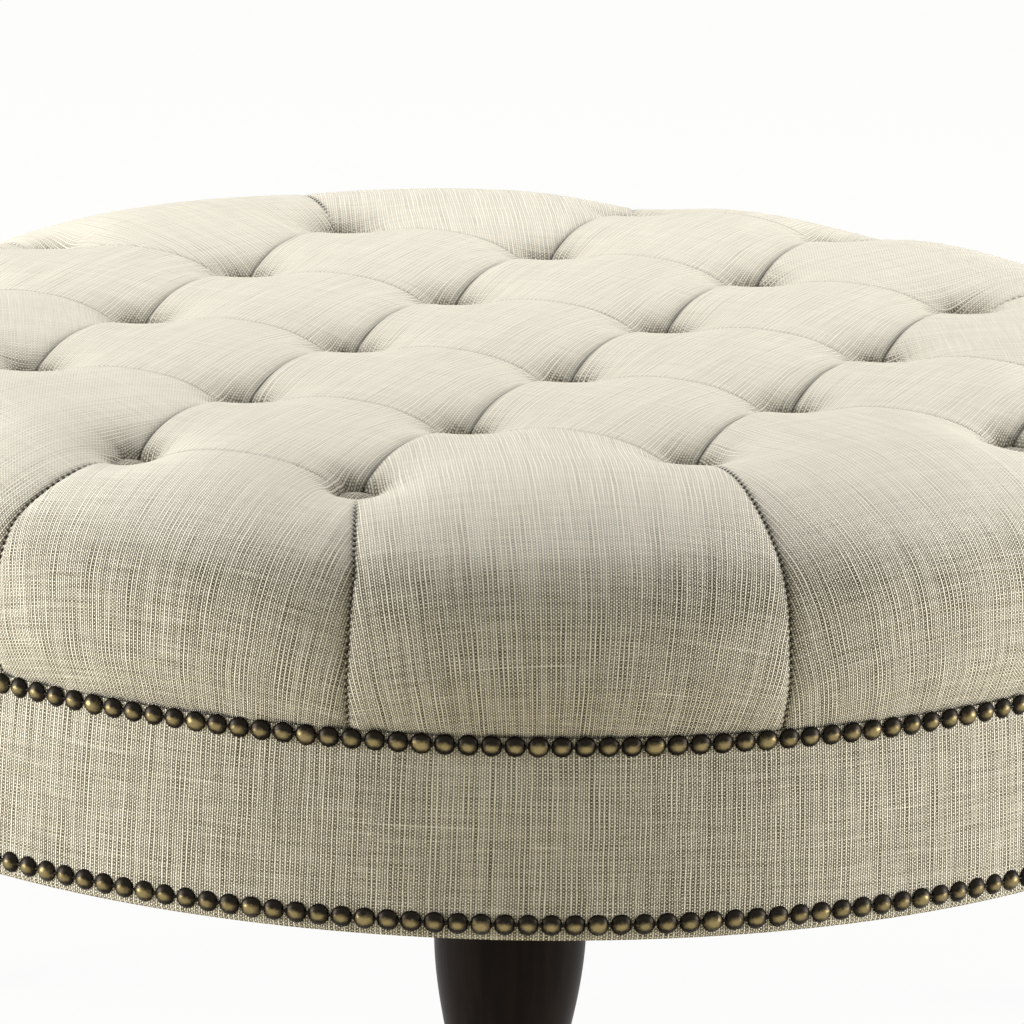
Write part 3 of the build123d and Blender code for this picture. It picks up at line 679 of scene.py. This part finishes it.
def grid_lines():
    """Coordinates of the pillow grid's lines, close together at the pleats."""
    lines = {round(k * CELL, 7) for k in (-3, -2, -1, 0, 1, 2, 3)}
    for k in HALF_CELLS:
        for offset in PLEAT_OFFSETS:
            lines |= {round(k * CELL - offset, 7), round(k * CELL + offset, 7)}
    return sorted(x for x in lines if abs(x) <= FIELD_EDGE + 0.008)


def flat_field(bm):
    """The pillows' part of the flat cloth: a grid with its lines on the pleats."""
    lines = grid_lines()
    count = len(lines)
    made = bmesh.ops.create_grid(bm, x_segments=count - 1, y_segments=count - 1, size=1.0)["verts"]
    for vert in made:
        column, row = (round((vert.co[k] + 1) / 2 * (count - 1)) for k in (0, 1))
        vert.co = (lines[column], lines[row], 0)
    outside = [v for v in made if math.hypot(v.co.x, v.co.y) > FIELD_EDGE]
    bmesh.ops.delete(bm, geom=outside, context="VERTS")
    stray = [v for v in bm.verts if not v.link_faces]
    bmesh.ops.delete(bm, geom=stray, context="VERTS")


def flat_border(bm, seat):
    """The border's part of the flat cloth: rings, with their lines close together at the seams."""
    shares = [x / 2 for x in SEAM_SHARES] + [0.5] + [1 - x / 2 for x in reversed(SEAM_SHARES[1:])]
    per_panel = len(shares)
    columns = per_panel * len(seat.seams)
    reaches = np.linspace(BORDER_START, seat.end, BORDER_RINGS + 1)
    angles = np.empty((columns + 1, BORDER_RINGS + 1))
    for k, seam in enumerate(seat.seams):
        follow = seat.seams[(k + 1) % len(seat.seams)]
        first, second = seam.angle_at(reaches), follow.angle_at(reaches)
        width = turn_between(second, first)
        for j, share in enumerate(shares):
            angles[k * per_panel + j] = first + share * width
    angles[-1] = angles[0]
    before = set(bm.verts)
    bmesh.ops.create_grid(bm, x_segments=columns, y_segments=BORDER_RINGS, size=1.0)
    made = [v for v in bm.verts if v not in before]
    for vert in made:
        column = round((vert.co.x + 1) / 2 * columns)
        row = round((vert.co.y + 1) / 2 * BORDER_RINGS)
        angle, reach = angles[column, row], reaches[row]
        vert.co = (reach * math.cos(angle), reach * math.sin(angle), 0)
    bmesh.ops.remove_doubles(bm, verts=made, dist=1e-6)


def join_field_and_border(bm):
    """Fills the gap between the pillows' grid and the border's rings."""
    rim = [e for e in bm.edges if e.is_boundary
           and max(v.co.length for v in e.verts) < BORDER_START + 1e-4]
    bmesh.ops.triangle_fill(bm, use_beauty=True, use_dissolve=False, edges=rim, normal=(0, 0, 1))


def cut_seams(bm, seat):
    """Lines of the mesh along each seam, where it crosses the pillows' grid."""
    for seam in seat.seams:
        side = Vector((-seam.along[1], seam.along[0], 0))
        faces = []
        for face in bm.faces:
            c = face.calc_center_median()
            run = (c.x - seam.button[0]) * seam.along[0] + (c.y - seam.button[1]) * seam.along[1]
            gap = (c.x - seam.button[0]) * side.x + (c.y - seam.button[1]) * side.y
            if -0.002 < run and abs(gap) < 0.016 and c.length < BORDER_START:
                faces.append(face)
        for offset in (0, -0.0006, 0.0006, -0.0014, 0.0014, -0.0028, 0.0028, -0.005, 0.005):
            geom = faces + list({e for f in faces for e in f.edges})
            geom += list({v for f in faces for v in f.verts})
            made = bmesh.ops.bisect_plane(bm, geom=geom, dist=1e-5, plane_no=side,
                                          plane_co=Vector((*seam.button, 0)) + side * offset)
            faces = [g for g in made["geom"] if isinstance(g, bmesh.types.BMFace)]


def panel_of(seat, s, t):
    """Which border panel a place on the cloth is in, or None among the pillows."""
    column, row = abs(round(s / CELL)), abs(round(t / CELL))
    if (column, row) in {(0, 0), (1, 0), (0, 1), (1, 1), (2, 0), (0, 2)}:
        return None
    reach, angle = math.hypot(s, t), math.atan2(t, s)
    gaps = [turn_between(angle, float(seam.angle_at(max(reach, seam.start)))) for seam in seat.seams]
    passed = [k for k, gap in enumerate(gaps) if gap >= 0]
    return min(passed, key=lambda k: gaps[k], default=int(np.argmin(np.abs(gaps))))


def lay_weave(bm, seat):
    """UV map of the cloth in metres: one grain on the pillows, and each border panel's own."""
    weave = bm.loops.layers.uv.new("weave")
    middles = []
    for k, seam in enumerate(seat.seams):
        first = seam.angle + seam.lean
        follow = seat.seams[(k + 1) % len(seat.seams)]
        middles.append(first + turn_between(follow.angle + follow.lean, first) / 2)
    for face in bm.faces:
        centre = face.calc_center_median()
        panel = panel_of(seat, centre.x, centre.y)
        turn = 0.0 if panel is None else middles[panel] - math.pi / 2
        shift = 0.0 if panel is None else 0.37 * (panel + 1)
        c, s = math.cos(turn), math.sin(turn)
        for loop in face.loops:
            x, y = loop.vert.co.x, loop.vert.co.y
            loop[weave].uv = (x * c + y * s + shift, -x * s + y * c + shift * 0.61)


def close_cover(bm):
    """Turns the cover's lower edge in and closes the shell over the hollow for wadding and foam."""
    rim = [e for e in bm.edges if e.is_boundary]
    steps = ((wall(COVER_LOW_Z, 0.0045), 0.2988), (wall(0.324, 0.0047), 0.3243), (HOLLOW_RADIUS, 0.3245),
             (HOLLOW_RADIUS, 0.380), (0.410, HOLLOW_TOP_Z), (0.25, HOLLOW_TOP_Z),
             (0.06, HOLLOW_TOP_Z))
    for radius, height in steps:
        grown = bmesh.ops.extrude_edge_only(bm, edges=rim)["geom"]
        rim = [g for g in grown if isinstance(g, bmesh.types.BMEdge)]
        for vert in {v for e in rim for v in e.verts}:
            flat = Vector((vert.co.x, vert.co.y, 0)).normalized() * radius
            vert.co = (flat.x, flat.y, height)
    bmesh.ops.contextual_create(bm, geom=rim)


def cover_mesh(seat):
    """The tufted cover, pillows and border, as one closed shell."""
    bm = bmesh.new()
    flat_field(bm)
    flat_border(bm, seat)
    join_field_and_border(bm)
    cut_seams(bm, seat)
    bmesh.ops.recalc_face_normals(bm, faces=bm.faces)
    if bm.faces[0].normal.z < 0:
        bmesh.ops.reverse_faces(bm, faces=bm.faces)
    lay_weave(bm, seat)
    flat = np.array([v.co[:2] for v in bm.verts])
    place, crease_shade, stitch_shade = seat.surface(flat[:, 0], flat[:, 1])
    # painted shade for the linen: in creases and under lips, and in dashes along the seams
    crease_shade_layer, stitches = bm.verts.layers.float.new("crease_shade"), bm.verts.layers.float.new("stitch_shade")
    for vert, co, depth, near in zip(bm.verts, place, crease_shade, stitch_shade):
        vert.co = co
        vert[crease_shade_layer], vert[stitches] = depth, near
    bm.normal_update()
    # painted light: how far each place faces up, which lifts the linen's painted gap shade there
    facing = bm.verts.layers.float.new("facing")
    for vert in bm.verts:
        vert[facing] = min(max((vert.normal.z - 0.30) / 0.67, 0.0), 1.0) ** 2.2
    close_cover(bm)
    return bm


def band_profile():
    """Outline of the cloth band: turned under the drum, up the wall and over the tack strip."""
    low = FRAME_Z - 0.0008
    points = [(wall(low) - 0.040, low - 0.0006), (wall(low) - 0.005, low - 0.0008),
              (wall(low) - 0.0018, low - 0.0002), (wall(low) - 0.0003, low + 0.0018)]
    for z in np.linspace(low + 0.006, UPPER_ROW_Z + 0.0048, 30):
        share = (z - LOWER_ROW_Z) / (UPPER_ROW_Z - LOWER_ROW_Z)
        puff = 0.0014 * max(0.0, math.sin(math.pi * min(max(share, 0), 1))) ** 0.7
        points.append((wall(z) + puff, z))
    return points


def head_place(index, count, z):
    """Where a nail head stands on the flared wall, facing out."""
    facing = Matrix.Rotation(math.radians(90), 4, "Y")
    return Matrix.Rotation(math.tau * index / count, 4, "Z") @ Matrix.Translation((wall(z), 0, z)) @ facing


def dome(radius, rise, rim, steps):
    """A nail's head: a domed cap with a short straight rim, on the XY plane."""
    sphere = (radius * radius + rise * rise) / (2 * rise)
    top = math.asin(min(1.0, radius / sphere))
    points = [(radius * 0.93, -0.0006), (radius, rim * 0.3)]
    points += [(sphere * math.sin(a), rim + sphere * math.cos(a) - (sphere - rise))
               for a in np.linspace(top, 0, 5)]
    bm = turned(points, steps)
    # painted reflection: strongest a little below the cap's middle, none under the cap or on the shank
    painted_reflection = bm.verts.layers.float.new("painted_reflection")
    for vert in bm.verts:
        down, side = vert.co.x / radius - 0.12, vert.co.y / radius
        vert[painted_reflection] = math.exp(-(down / 0.40) ** 2 - (side / 0.70) ** 2) if vert.co.z > 0 else 0.0
    return bm


def trim_row(name, count, z, trim):
    """One row of nailhead trim: a strip of linked false heads, and the real nails that hold it."""
    false_head = dome(trim.head_radius, 0.0034, 0.0005, 12)
    ring = bmesh.new()
    bmesh.ops.create_cone(ring, cap_ends=False, segments=count * 2, radius1=wall(z, -0.0013),
                          radius2=wall(z, -0.0013), depth=0.0016)
    bmesh.ops.translate(ring, verts=ring.verts, vec=(0, 0, z))
    bmesh.ops.solidify(ring, geom=ring.faces, thickness=0.0008)
    linked = repeated(false_head, [head_place(k, count, z) for k in range(count) if k % NAIL_EVERY])
    mesh = as_mesh("ring", ring)
    linked.from_mesh(mesh)
    bpy.data.meshes.remove(mesh)
    bmesh.ops.recalc_face_normals(linked, faces=linked.faces)
    keep(name + "_linked_heads", linked, antique_brass(name + "_strip_bronze", trim), "strip_brass",
         [name + "_nail_strip"])
    nail = dome(trim.nail_radius, 0.0037, 0.0006, 14)
    turned([(0.0009, -0.0008), (0.0009, -0.013), (0.0002, -0.015)], 6, nail)
    real = repeated(nail, [head_place(k, count, z) for k in range(0, count, NAIL_EVERY)])
    keep(name + "_round_nails", real, antique_brass(name + "_nail_bronze", trim, 0.11), "nail_brass",
         [name + "_nails"])


def leg_profile():
    """Turned leg from its foot to its top: slim ankle, rising curve, full shoulder."""
    low, top = 0.005, FRAME_Z
    anchors = np.array(((0.021, low + 0.010), (0.0222, 0.035), (0.0262, 0.057), (0.0315, 0.081),
                        (0.0366, 0.1), (0.0419, 0.126), (0.0443, 0.142), (0.0458, 0.156),
                        (0.0464, 0.168), (0.0464, 0.180)))
    points = [(0.0, low), (0.019, low), (0.0204, low + 0.0006), (0.021, low + 0.002)]
    for z in np.linspace(low + 0.010, 0.180, 40):
        points.append((float(np.interp(z, anchors[:, 1], anchors[:, 0])), float(z)))
    smooth = np.array([p[0] for p in points[4:]])
    for _ in range(6):
        smooth[1:-1] = (smooth[:-2] + 2 * smooth[1:-1] + smooth[2:]) / 4
    points[4:] = [(float(r), p[1]) for r, p in zip(smooth, points[4:])]
    return points + [(0.0462, 0.190), (0.0456, top - 0.0006), (0.0450, top), (0.0, top)]


def copied(node):
    """A CAD node's mesh with its loose triangles merged."""
    bm = bmesh.new()
    bm.from_mesh(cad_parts[node].data)
    bmesh.ops.remove_doubles(bm, verts=bm.verts, dist=1e-6)
    return bm


def eased(bm, floor, top, start, end, drop):
    """Lowers a filling's outer edge, more towards its top, so that it follows the seat's shoulder."""
    for vert in bm.verts:
        share = min(max((math.hypot(vert.co.x, vert.co.y) - start) / (end - start), 0), 1)
        rise = min(max((vert.co.z - floor) / (top - floor), 0), 1)
        vert.co.z -= drop * share * rise
    return bm


def paint(node, material):
    """Gives a CAD node its finish."""
    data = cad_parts[node].data
    data.materials.clear()
    data.materials.append(material)


# Settings

def length(name, description, default):
    """A size in metres."""
    return bpy.props.FloatProperty(name=name, description=description, default=default, unit="LENGTH",
                                   precision=5)


def colour_of(name, description, default):
    """A colour in linear numbers."""
    return bpy.props.FloatVectorProperty(name=name, description=description, size=3, subtype="COLOR",
                                         default=default, min=0, max=1)


def lamp_power(name, description, default):
    """A lamp's power in watts."""
    return bpy.props.FloatProperty(name=name, description=description, default=default, unit="POWER")


class SeatSettings(bpy.types.PropertyGroup):
    """Sizes of the tufting and the border's seams."""
    button_dip: length("Button depth", "How far a button draws the cloth down", 0.029)
    pleat_dip: length("Pleat depth", "Depth of a pleat half way between buttons", 0.0065)
    dip_power: bpy.props.FloatProperty(name="Pleat fall", default=2.4,
                                       description="How late a pleat falls towards its button")
    pillow_reach: length("Pillow roundness", "How far a pleat rounds the pillow", 0.038)
    crease_depth: length("Crease", "Extra depth in a pleat's crease", 0.0026)
    lip_overlap: length("Lip", "How far one pillow's lip covers the crease", 0.0024)
    lip_rise: length("Lip rise", "How far the lip stands up from its neighbour", 0.0014)
    seam_dip: length("Seam dip", "How far a seam draws the border in", 0.0048)
    seam_mouth: length("Seam mouth", "How far a pit opens into its seam", 0.0125)
    seam_crease: length("Seam crease", "Extra depth right at a seam", 0.0020)


class ClothSettings(bpy.types.PropertyGroup):
    """Colours and scale of the linen-look cloth."""
    thread: colour_of("Thread", "Colour of the raised threads", (0.94, 0.885, 0.755))
    # the colour between the threads is painted shade in the weave's gaps
    ground_shade: colour_of("Ground", "Colour between the threads", (0.085, 0.071, 0.033))
    warp_pitch: length("Warp pitch", "Distance between the upright threads", 0.00155)
    weft_pitch: length("Weft pitch", "Distance between the level threads", 0.00107)
    thread_height: length("Thread height", "How far threads stand out", 0.0006)
    stitch_pitch: length("Stitch", "Distance between the seams' stitches", 0.0044)


class TrimSettings(bpy.types.PropertyGroup):
    """Sizes and colours of the nailhead trim."""
    head_radius: length("False head", "Radius of a linked head", 0.0066)
    nail_radius: length("Nail head", "Radius of a real nail's head", 0.0066)
    dark: colour_of("Patina", "Dark of the bronzed brass", (0.016, 0.013, 0.010))
    # the bright brass shows both where the brass is rubbed and in the painted reflection on each head
    bright: colour_of("Rubbed brass", "Brass where it is rubbed", (0.29, 0.225, 0.10))


class LegSettings(bpy.types.PropertyGroup):
    """Colours of the legs' lacquer."""
    dark: colour_of("Lacquer", "Colour of the lacquer", (0.0058, 0.0034, 0.0020))
    grain: colour_of("Grain", "Colour of the grain under it", (0.0110, 0.0065, 0.0040))


class StudioSettings(bpy.types.PropertyGroup):
    """Strength of the studio's lights."""
    top_light: lamp_power("Top light", "Power of the overhead softbox", 64.0)
    side_light: lamp_power("Side lights", "Power of the left softbox; the right has four fifths", 150.0)
    fill: bpy.props.FloatProperty(name="Fill", description="Strength of the even light from all round",
                                  default=0.19)


# Operators

class OTTOMAN_OT_cover(bpy.types.Operator):
    """Makes the tufted cover with its pillows, border panels and seams"""
    bl_idname = "ottoman.cover"
    bl_label = "Tufted Cover"

    def execute(self, context):
        seat = Seat(context.scene.ottoman_seat)
        cloth = linen("seat_linen", context.scene.ottoman_cloth, with_painted_shading=True)
        cover = keep("tufted_seat_cover", cover_mesh(seat), cloth, "seat_cloth", ["tufted_cover"])
        return {"FINISHED"}


class OTTOMAN_OT_fillings(bpy.types.Operator):
    """Makes the foam, the wadding and the band's padding"""
    bl_idname = "ottoman.fillings"
    bl_label = "Foam and Wadding"

    def execute(self, context):
        foam = soft_fill("seat_foam_cells", (0.72, 0.66, 0.46), 900.0)
        fluff = soft_fill("polyester_wadding", (0.82, 0.82, 0.80), 400.0)
        for node, name, material, slot in (("seat_foam", "foam_block", foam, "foam"),
                                           ("seat_wadding", "wadding_layer", fluff, "wadding"),
                                           ("band_padding", "band_wadding", fluff, "wadding")):
            bm = copied(node)
            if name != "band_wadding":
                eased(bm, DECK_TOP_Z, HOLLOW_TOP_Z, FILLING_FALL_REACH, HOLLOW_RADIUS, FILLING_FALL)
            keep(name, bm, material, slot, [node], smooth_faces=False)
        return {"FINISHED"}


class OTTOMAN_OT_buttons(bpy.types.Operator):
    """Makes the cloth caps of the tufting buttons"""
    bl_idname = "ottoman.buttons"
    bl_label = "Covered Buttons"

    def execute(self, context):
        floor = BUTTON_FLOOR_Z
        arc = np.linspace(math.radians(78), 0, 9)
        points = [(0.0055, floor + 0.0006), (0.0112, floor + 0.0005), (0.0123, floor + 0.0014),
                  (BUTTON_RADIUS, floor + 0.003)]
        points += [(BUTTON_RADIUS * math.sin(a) ** 0.9 if a else 0.0, floor + 0.0040 + 0.0052 * math.cos(a))
                   for a in arc]
        cap = turned(points, 28)
        weave = cap.loops.layers.uv.new("weave")
        for face in cap.faces:
            for loop in face.loops:
                loop[weave].uv = (loop.vert.co.x, loop.vert.co.y)
        turn = Matrix.Rotation(GRID_TURN, 4, "Z")
        places = [turn @ Matrix.Translation((s * CELL, t * CELL, 0)) for s, t in button_places()]
        keep("button_covers", repeated(cap, places), linen("button_linen", context.scene.ottoman_cloth),
             "button_cloth", ["button_caps"])
        return {"FINISHED"}


class OTTOMAN_OT_band(bpy.types.Operator):
    """Makes the plain cloth band between the nail rows"""
    bl_idname = "ottoman.band"
    bl_label = "Cloth Band"

    def execute(self, context):
        bm = turned(band_profile(), 2 * HEADS_LOW)
        weave = bm.loops.layers.uv.new("weave")
        for face in bm.faces:
            middle = face.calc_center_median()
            base = math.atan2(middle.y, middle.x)
            for loop in face.loops:
                co = loop.vert.co
                angle = base + turn_between(math.atan2(co.y, co.x), base)
                drop = co.z - max(0.0, wall(co.z) - math.hypot(co.x, co.y) - 0.004)
                loop[weave].uv = (angle * BAND_MEAN_RADIUS, drop + 0.5)
        for vert in bm.verts:
            angle, radius = math.atan2(vert.co.y, vert.co.x), math.hypot(vert.co.x, vert.co.y)
            pull = 0.0
            for row, count in ((UPPER_ROW_Z, HEADS_UP), (LOWER_ROW_Z, HEADS_LOW)):
                nearness = math.exp(-((vert.co.z - row) / 0.011) ** 2)
                pull += nearness * (0.5 + 0.5 * math.cos(angle * count)) * 0.0003
            sway = math.sin(angle * 17 + 1) * math.sin(angle * 7) * 0.0004
            radius += sway * (1 if vert.co.z > FRAME_Z else 0) - pull
            vert.co.x, vert.co.y = radius * math.cos(angle), radius * math.sin(angle)
        band = keep("band_linen", bm, linen("band_linen_weave", context.scene.ottoman_cloth), "band_cloth",
                    ["band_cloth"])
        return {"FINISHED"}


class OTTOMAN_OT_nail_trim(bpy.types.Operator):
    """Makes both rows of nailhead trim"""
    bl_idname = "ottoman.nail_trim"
    bl_label = "Nailhead Trim"

    def execute(self, context):
        trim = context.scene.ottoman_trim
        trim_row("upper", HEADS_UP, UPPER_ROW_Z, trim)
        trim_row("lower", HEADS_LOW, LOWER_ROW_Z, trim)
        return {"FINISHED"}


class OTTOMAN_OT_legs(bpy.types.Operator):
    """Makes the four turned legs"""
    bl_idname = "ottoman.legs"
    bl_label = "Turned Legs"

    def execute(self, context):
        material = leg_lacquer("espresso_lacquer", context.scene.ottoman_legs)
        for name, angle in (("leg_right", 0), ("leg_back", 90), ("leg_left", 180), ("leg_front", 270)):
            bm = turned(leg_profile(), 64)
            place = Matrix.Rotation(math.radians(angle), 4, "Z") @ Matrix.Translation((LEG_CIRCLE, 0, 0))
            bmesh.ops.transform(bm, matrix=place, verts=bm.verts)
            keep(name + "_turned", bm, material, "leg_lacquer", [name])
        return {"FINISHED"}


class OTTOMAN_OT_dust_cover(bpy.types.Operator):
    """Makes the black cloth under the table"""
    bl_idname = "ottoman.dust_cover"
    bl_label = "Dust Cover"

    def execute(self, context):
        bm = copied("dust_cover")
        cloth = keep("dust_cloth", bm, plain_cloth("black_dust_cloth", (0.012, 0.012, 0.013)), "dust_cloth",
                     ["dust_cover"], smooth_faces=False)
        return {"FINISHED"}


class OTTOMAN_OT_woodwork(bpy.types.Operator):
    """Finishes the wooden frame's nodes"""
    bl_idname = "ottoman.woodwork"
    bl_label = "Woodwork"

    def execute(self, context):
        beech = wood("beech_timber", (0.62, 0.40, 0.22), (0.45, 0.26, 0.13))
        ply = plywood("birch_plywood", (0.66, 0.50, 0.32), (0.42, 0.27, 0.14))
        bent = plywood("bent_plywood", (0.62, 0.47, 0.30), (0.40, 0.26, 0.14), 0.0009)
        for node, material in (("leg_blocks", beech), ("uprights", beech), ("long_rail", beech),
                               ("cross_rail", beech), ("base_ring", ply), ("deck_board", ply),
                               ("skin_panel", bent)):
            paint(node, material)
        return {"FINISHED"}


class OTTOMAN_OT_fixings(bpy.types.Operator):
    """Finishes the metal, plastic, card and twine nodes"""
    bl_idname = "ottoman.fixings"
    bl_label = "Fixings"

    def execute(self, context):
        zinc = metal("zinc_plate", (0.58, 0.60, 0.62))
        staple = metal("staple_wire", (0.50, 0.51, 0.53), 0.4)
        core = metal("button_tin", (0.62, 0.62, 0.60), 0.3)
        card = soft_fill("grey_card", (0.40, 0.37, 0.32), 1500.0)
        nylon = soft_fill("black_nylon", (0.02, 0.02, 0.02), 300.0)
        washer = soft_fill("white_nylon", (0.75, 0.75, 0.72), 300.0)
        twine = plain_cloth("waxed_twine", (0.60, 0.55, 0.42), 0.0004)
        for node, material in (("leg_bolts", zinc), ("leg_tee_nuts", zinc), ("leg_block_screws", zinc),
                               ("base_screws", zinc), ("deck_screws", zinc), ("cover_staples", staple),
                               ("dust_cover_staples", staple), ("button_cores", core), ("tack_strip", card),
                               ("leg_glides", nylon), ("twine_washers", washer), ("tuft_twines", twine)):
            paint(node, material)
        return {"FINISHED"}


class OTTOMAN_OT_studio(bpy.types.Operator):
    """Makes the white floor, the soft lights and the camera"""
    bl_idname = "ottoman.studio"
    bl_label = "Studio"

    def execute(self, context):
        self.floor()
        self.world(context.scene.ottoman_studio)
        self.lights(context.scene.ottoman_studio)
        self.camera(context.scene)
        context.scene.view_settings.view_transform = "Standard"
        return {"FINISHED"}

    def floor(self):
        bm = bmesh.new()
        bmesh.ops.create_circle(bm, cap_ends=True, segments=96, radius=14.0)
        mesh = as_mesh("studio_floor", bm)
        finish = Finish("studio_white", Base_Color=(0.84, 0.78, 0.58, 1), Roughness=0.9)
        lit, white = Wire(finish, finish.shader.outputs[0]), finish.node("ShaderNodeEmission")
        above = finish.shaders(finish.seen_directly() * 0.96, lit, white)
        from_below = finish.node("ShaderNodeNewGeometry", output="Backfacing")
        both = finish.shaders(from_below, above, finish.node("ShaderNodeBsdfTransparent"))
        finish.feed(next(n for n in finish.tree.nodes if n.type == "OUTPUT_MATERIAL").inputs[0], both)
        mesh.materials.append(finish.material)
        floor = bpy.data.objects.new("studio_floor", mesh)
        floor.location.z = -0.0005
        bpy.context.scene.collection.objects.link(floor)

    def world(self, studio):
        world = bpy.data.worlds.new("studio_air")
        world.use_nodes = True
        air = Nodes(world.node_tree)
        fill = air.tree.nodes["Background"]
        fill.inputs[0].default_value, fill.inputs[1].default_value = (1, 0.985, 0.96, 1), studio.fill
        white = air.node("ShaderNodeBackground", inputs={0: (1, 1, 1, 1)})
        mix = air.shaders(air.seen_directly(), Wire(air, fill.outputs[0]), white)
        air.feed(air.tree.nodes["World Output"].inputs[0], mix)
        bpy.context.scene.world = world

    def lights(self, studio):
        right_light = studio.side_light * 0.8
        for name, power, size, place in (("top_softbox", studio.top_light, 1.7, (0.1, 1.6, 2.85)),
                                         ("left_softbox", studio.side_light, 1.6, (-3.0, -0.42, 0.74)),
                                         ("right_softbox", right_light, 1.6, (3.0, -0.42, 0.74))):
            lamp = bpy.data.lights.new(name, "AREA")
            lamp.energy, lamp.size = power, size
            holder = bpy.data.objects.new(name, lamp)
            holder.location = place
            aim = Vector((0, 0, 0.35)) - Vector(place)
            holder.rotation_euler = aim.to_track_quat("-Z", "Y").to_euler()
            bpy.context.scene.collection.objects.link(holder)

    def camera(self, scene):
        """The photograph's view: its place, its aim and its slight roll."""
        about = Matrix.Rotation(VIEW_TURN, 3, "Z")
        place = Vector((0, -VIEW_DISTANCE * math.cos(VIEW_RISE), VIEW_DISTANCE * math.sin(VIEW_RISE)))
        ahead = Vector((math.sin(VIEW_SWING) * math.cos(VIEW_DIP), math.cos(VIEW_SWING) * math.cos(VIEW_DIP),
                        -math.sin(VIEW_DIP)))
        right = ahead.cross(Vector((0, 0, 1))).normalized()
        up = right.cross(ahead)
        c, s = math.cos(VIEW_ROLL), math.sin(VIEW_ROLL)
        right, up = c * right + s * up, c * up - s * right
        view = bpy.data.cameras.new("photo_camera")
        view.lens, view.sensor_width = VIEW_LENS, 36.0
        holder = bpy.data.objects.new("photo_camera", view)
        turn = about @ Matrix((right, up, -ahead)).transposed()
        holder.matrix_world = Matrix.Translation(about @ place + Vector((0, 0, UPPER_ROW_Z))) @ turn.to_4x4()
        scene.collection.objects.link(holder)
        scene.camera = holder


class OTTOMAN_PT_panel(bpy.types.Panel):
    """Lists the table's pieces in the sidebar"""
    bl_label = "Ottoman"
    bl_idname = "OTTOMAN_PT_panel"
    bl_space_type = "VIEW_3D"
    bl_region_type = "UI"
    bl_category = "Ottoman"

    def draw(self, context):
        for operator in OPERATORS:
            self.layout.operator(operator.bl_idname)
        for name in SETTINGS:
            group = getattr(context.scene, name)
            box = self.layout.box()
            for prop in group.bl_rna.properties:
                if not prop.is_readonly and prop.identifier != "name":
                    box.prop(group, prop.identifier)


SETTINGS = {"ottoman_seat": SeatSettings, "ottoman_cloth": ClothSettings, "ottoman_trim": TrimSettings,
            "ottoman_legs": LegSettings, "ottoman_studio": StudioSettings}
OPERATORS = (OTTOMAN_OT_cover, OTTOMAN_OT_fillings, OTTOMAN_OT_buttons, OTTOMAN_OT_band,
             OTTOMAN_OT_nail_trim, OTTOMAN_OT_legs, OTTOMAN_OT_dust_cover, OTTOMAN_OT_woodwork,
             OTTOMAN_OT_fixings, OTTOMAN_OT_studio)


def register():
    for cls in (*SETTINGS.values(), *OPERATORS, OTTOMAN_PT_panel):
        bpy.utils.register_class(cls)
    for name, cls in SETTINGS.items():
        setattr(bpy.types.Scene, name, bpy.props.PointerProperty(type=cls))


def unregister():
    for name in SETTINGS:
        delattr(bpy.types.Scene, name)
    for cls in reversed((*SETTINGS.values(), *OPERATORS, OTTOMAN_PT_panel)):
        bpy.utils.unregister_class(cls)


def main():
    register()
    for operator in OPERATORS:
        group, name = operator.bl_idname.split(".")
        getattr(getattr(bpy.ops, group), name)()


if __name__ == "__main__":
    main()
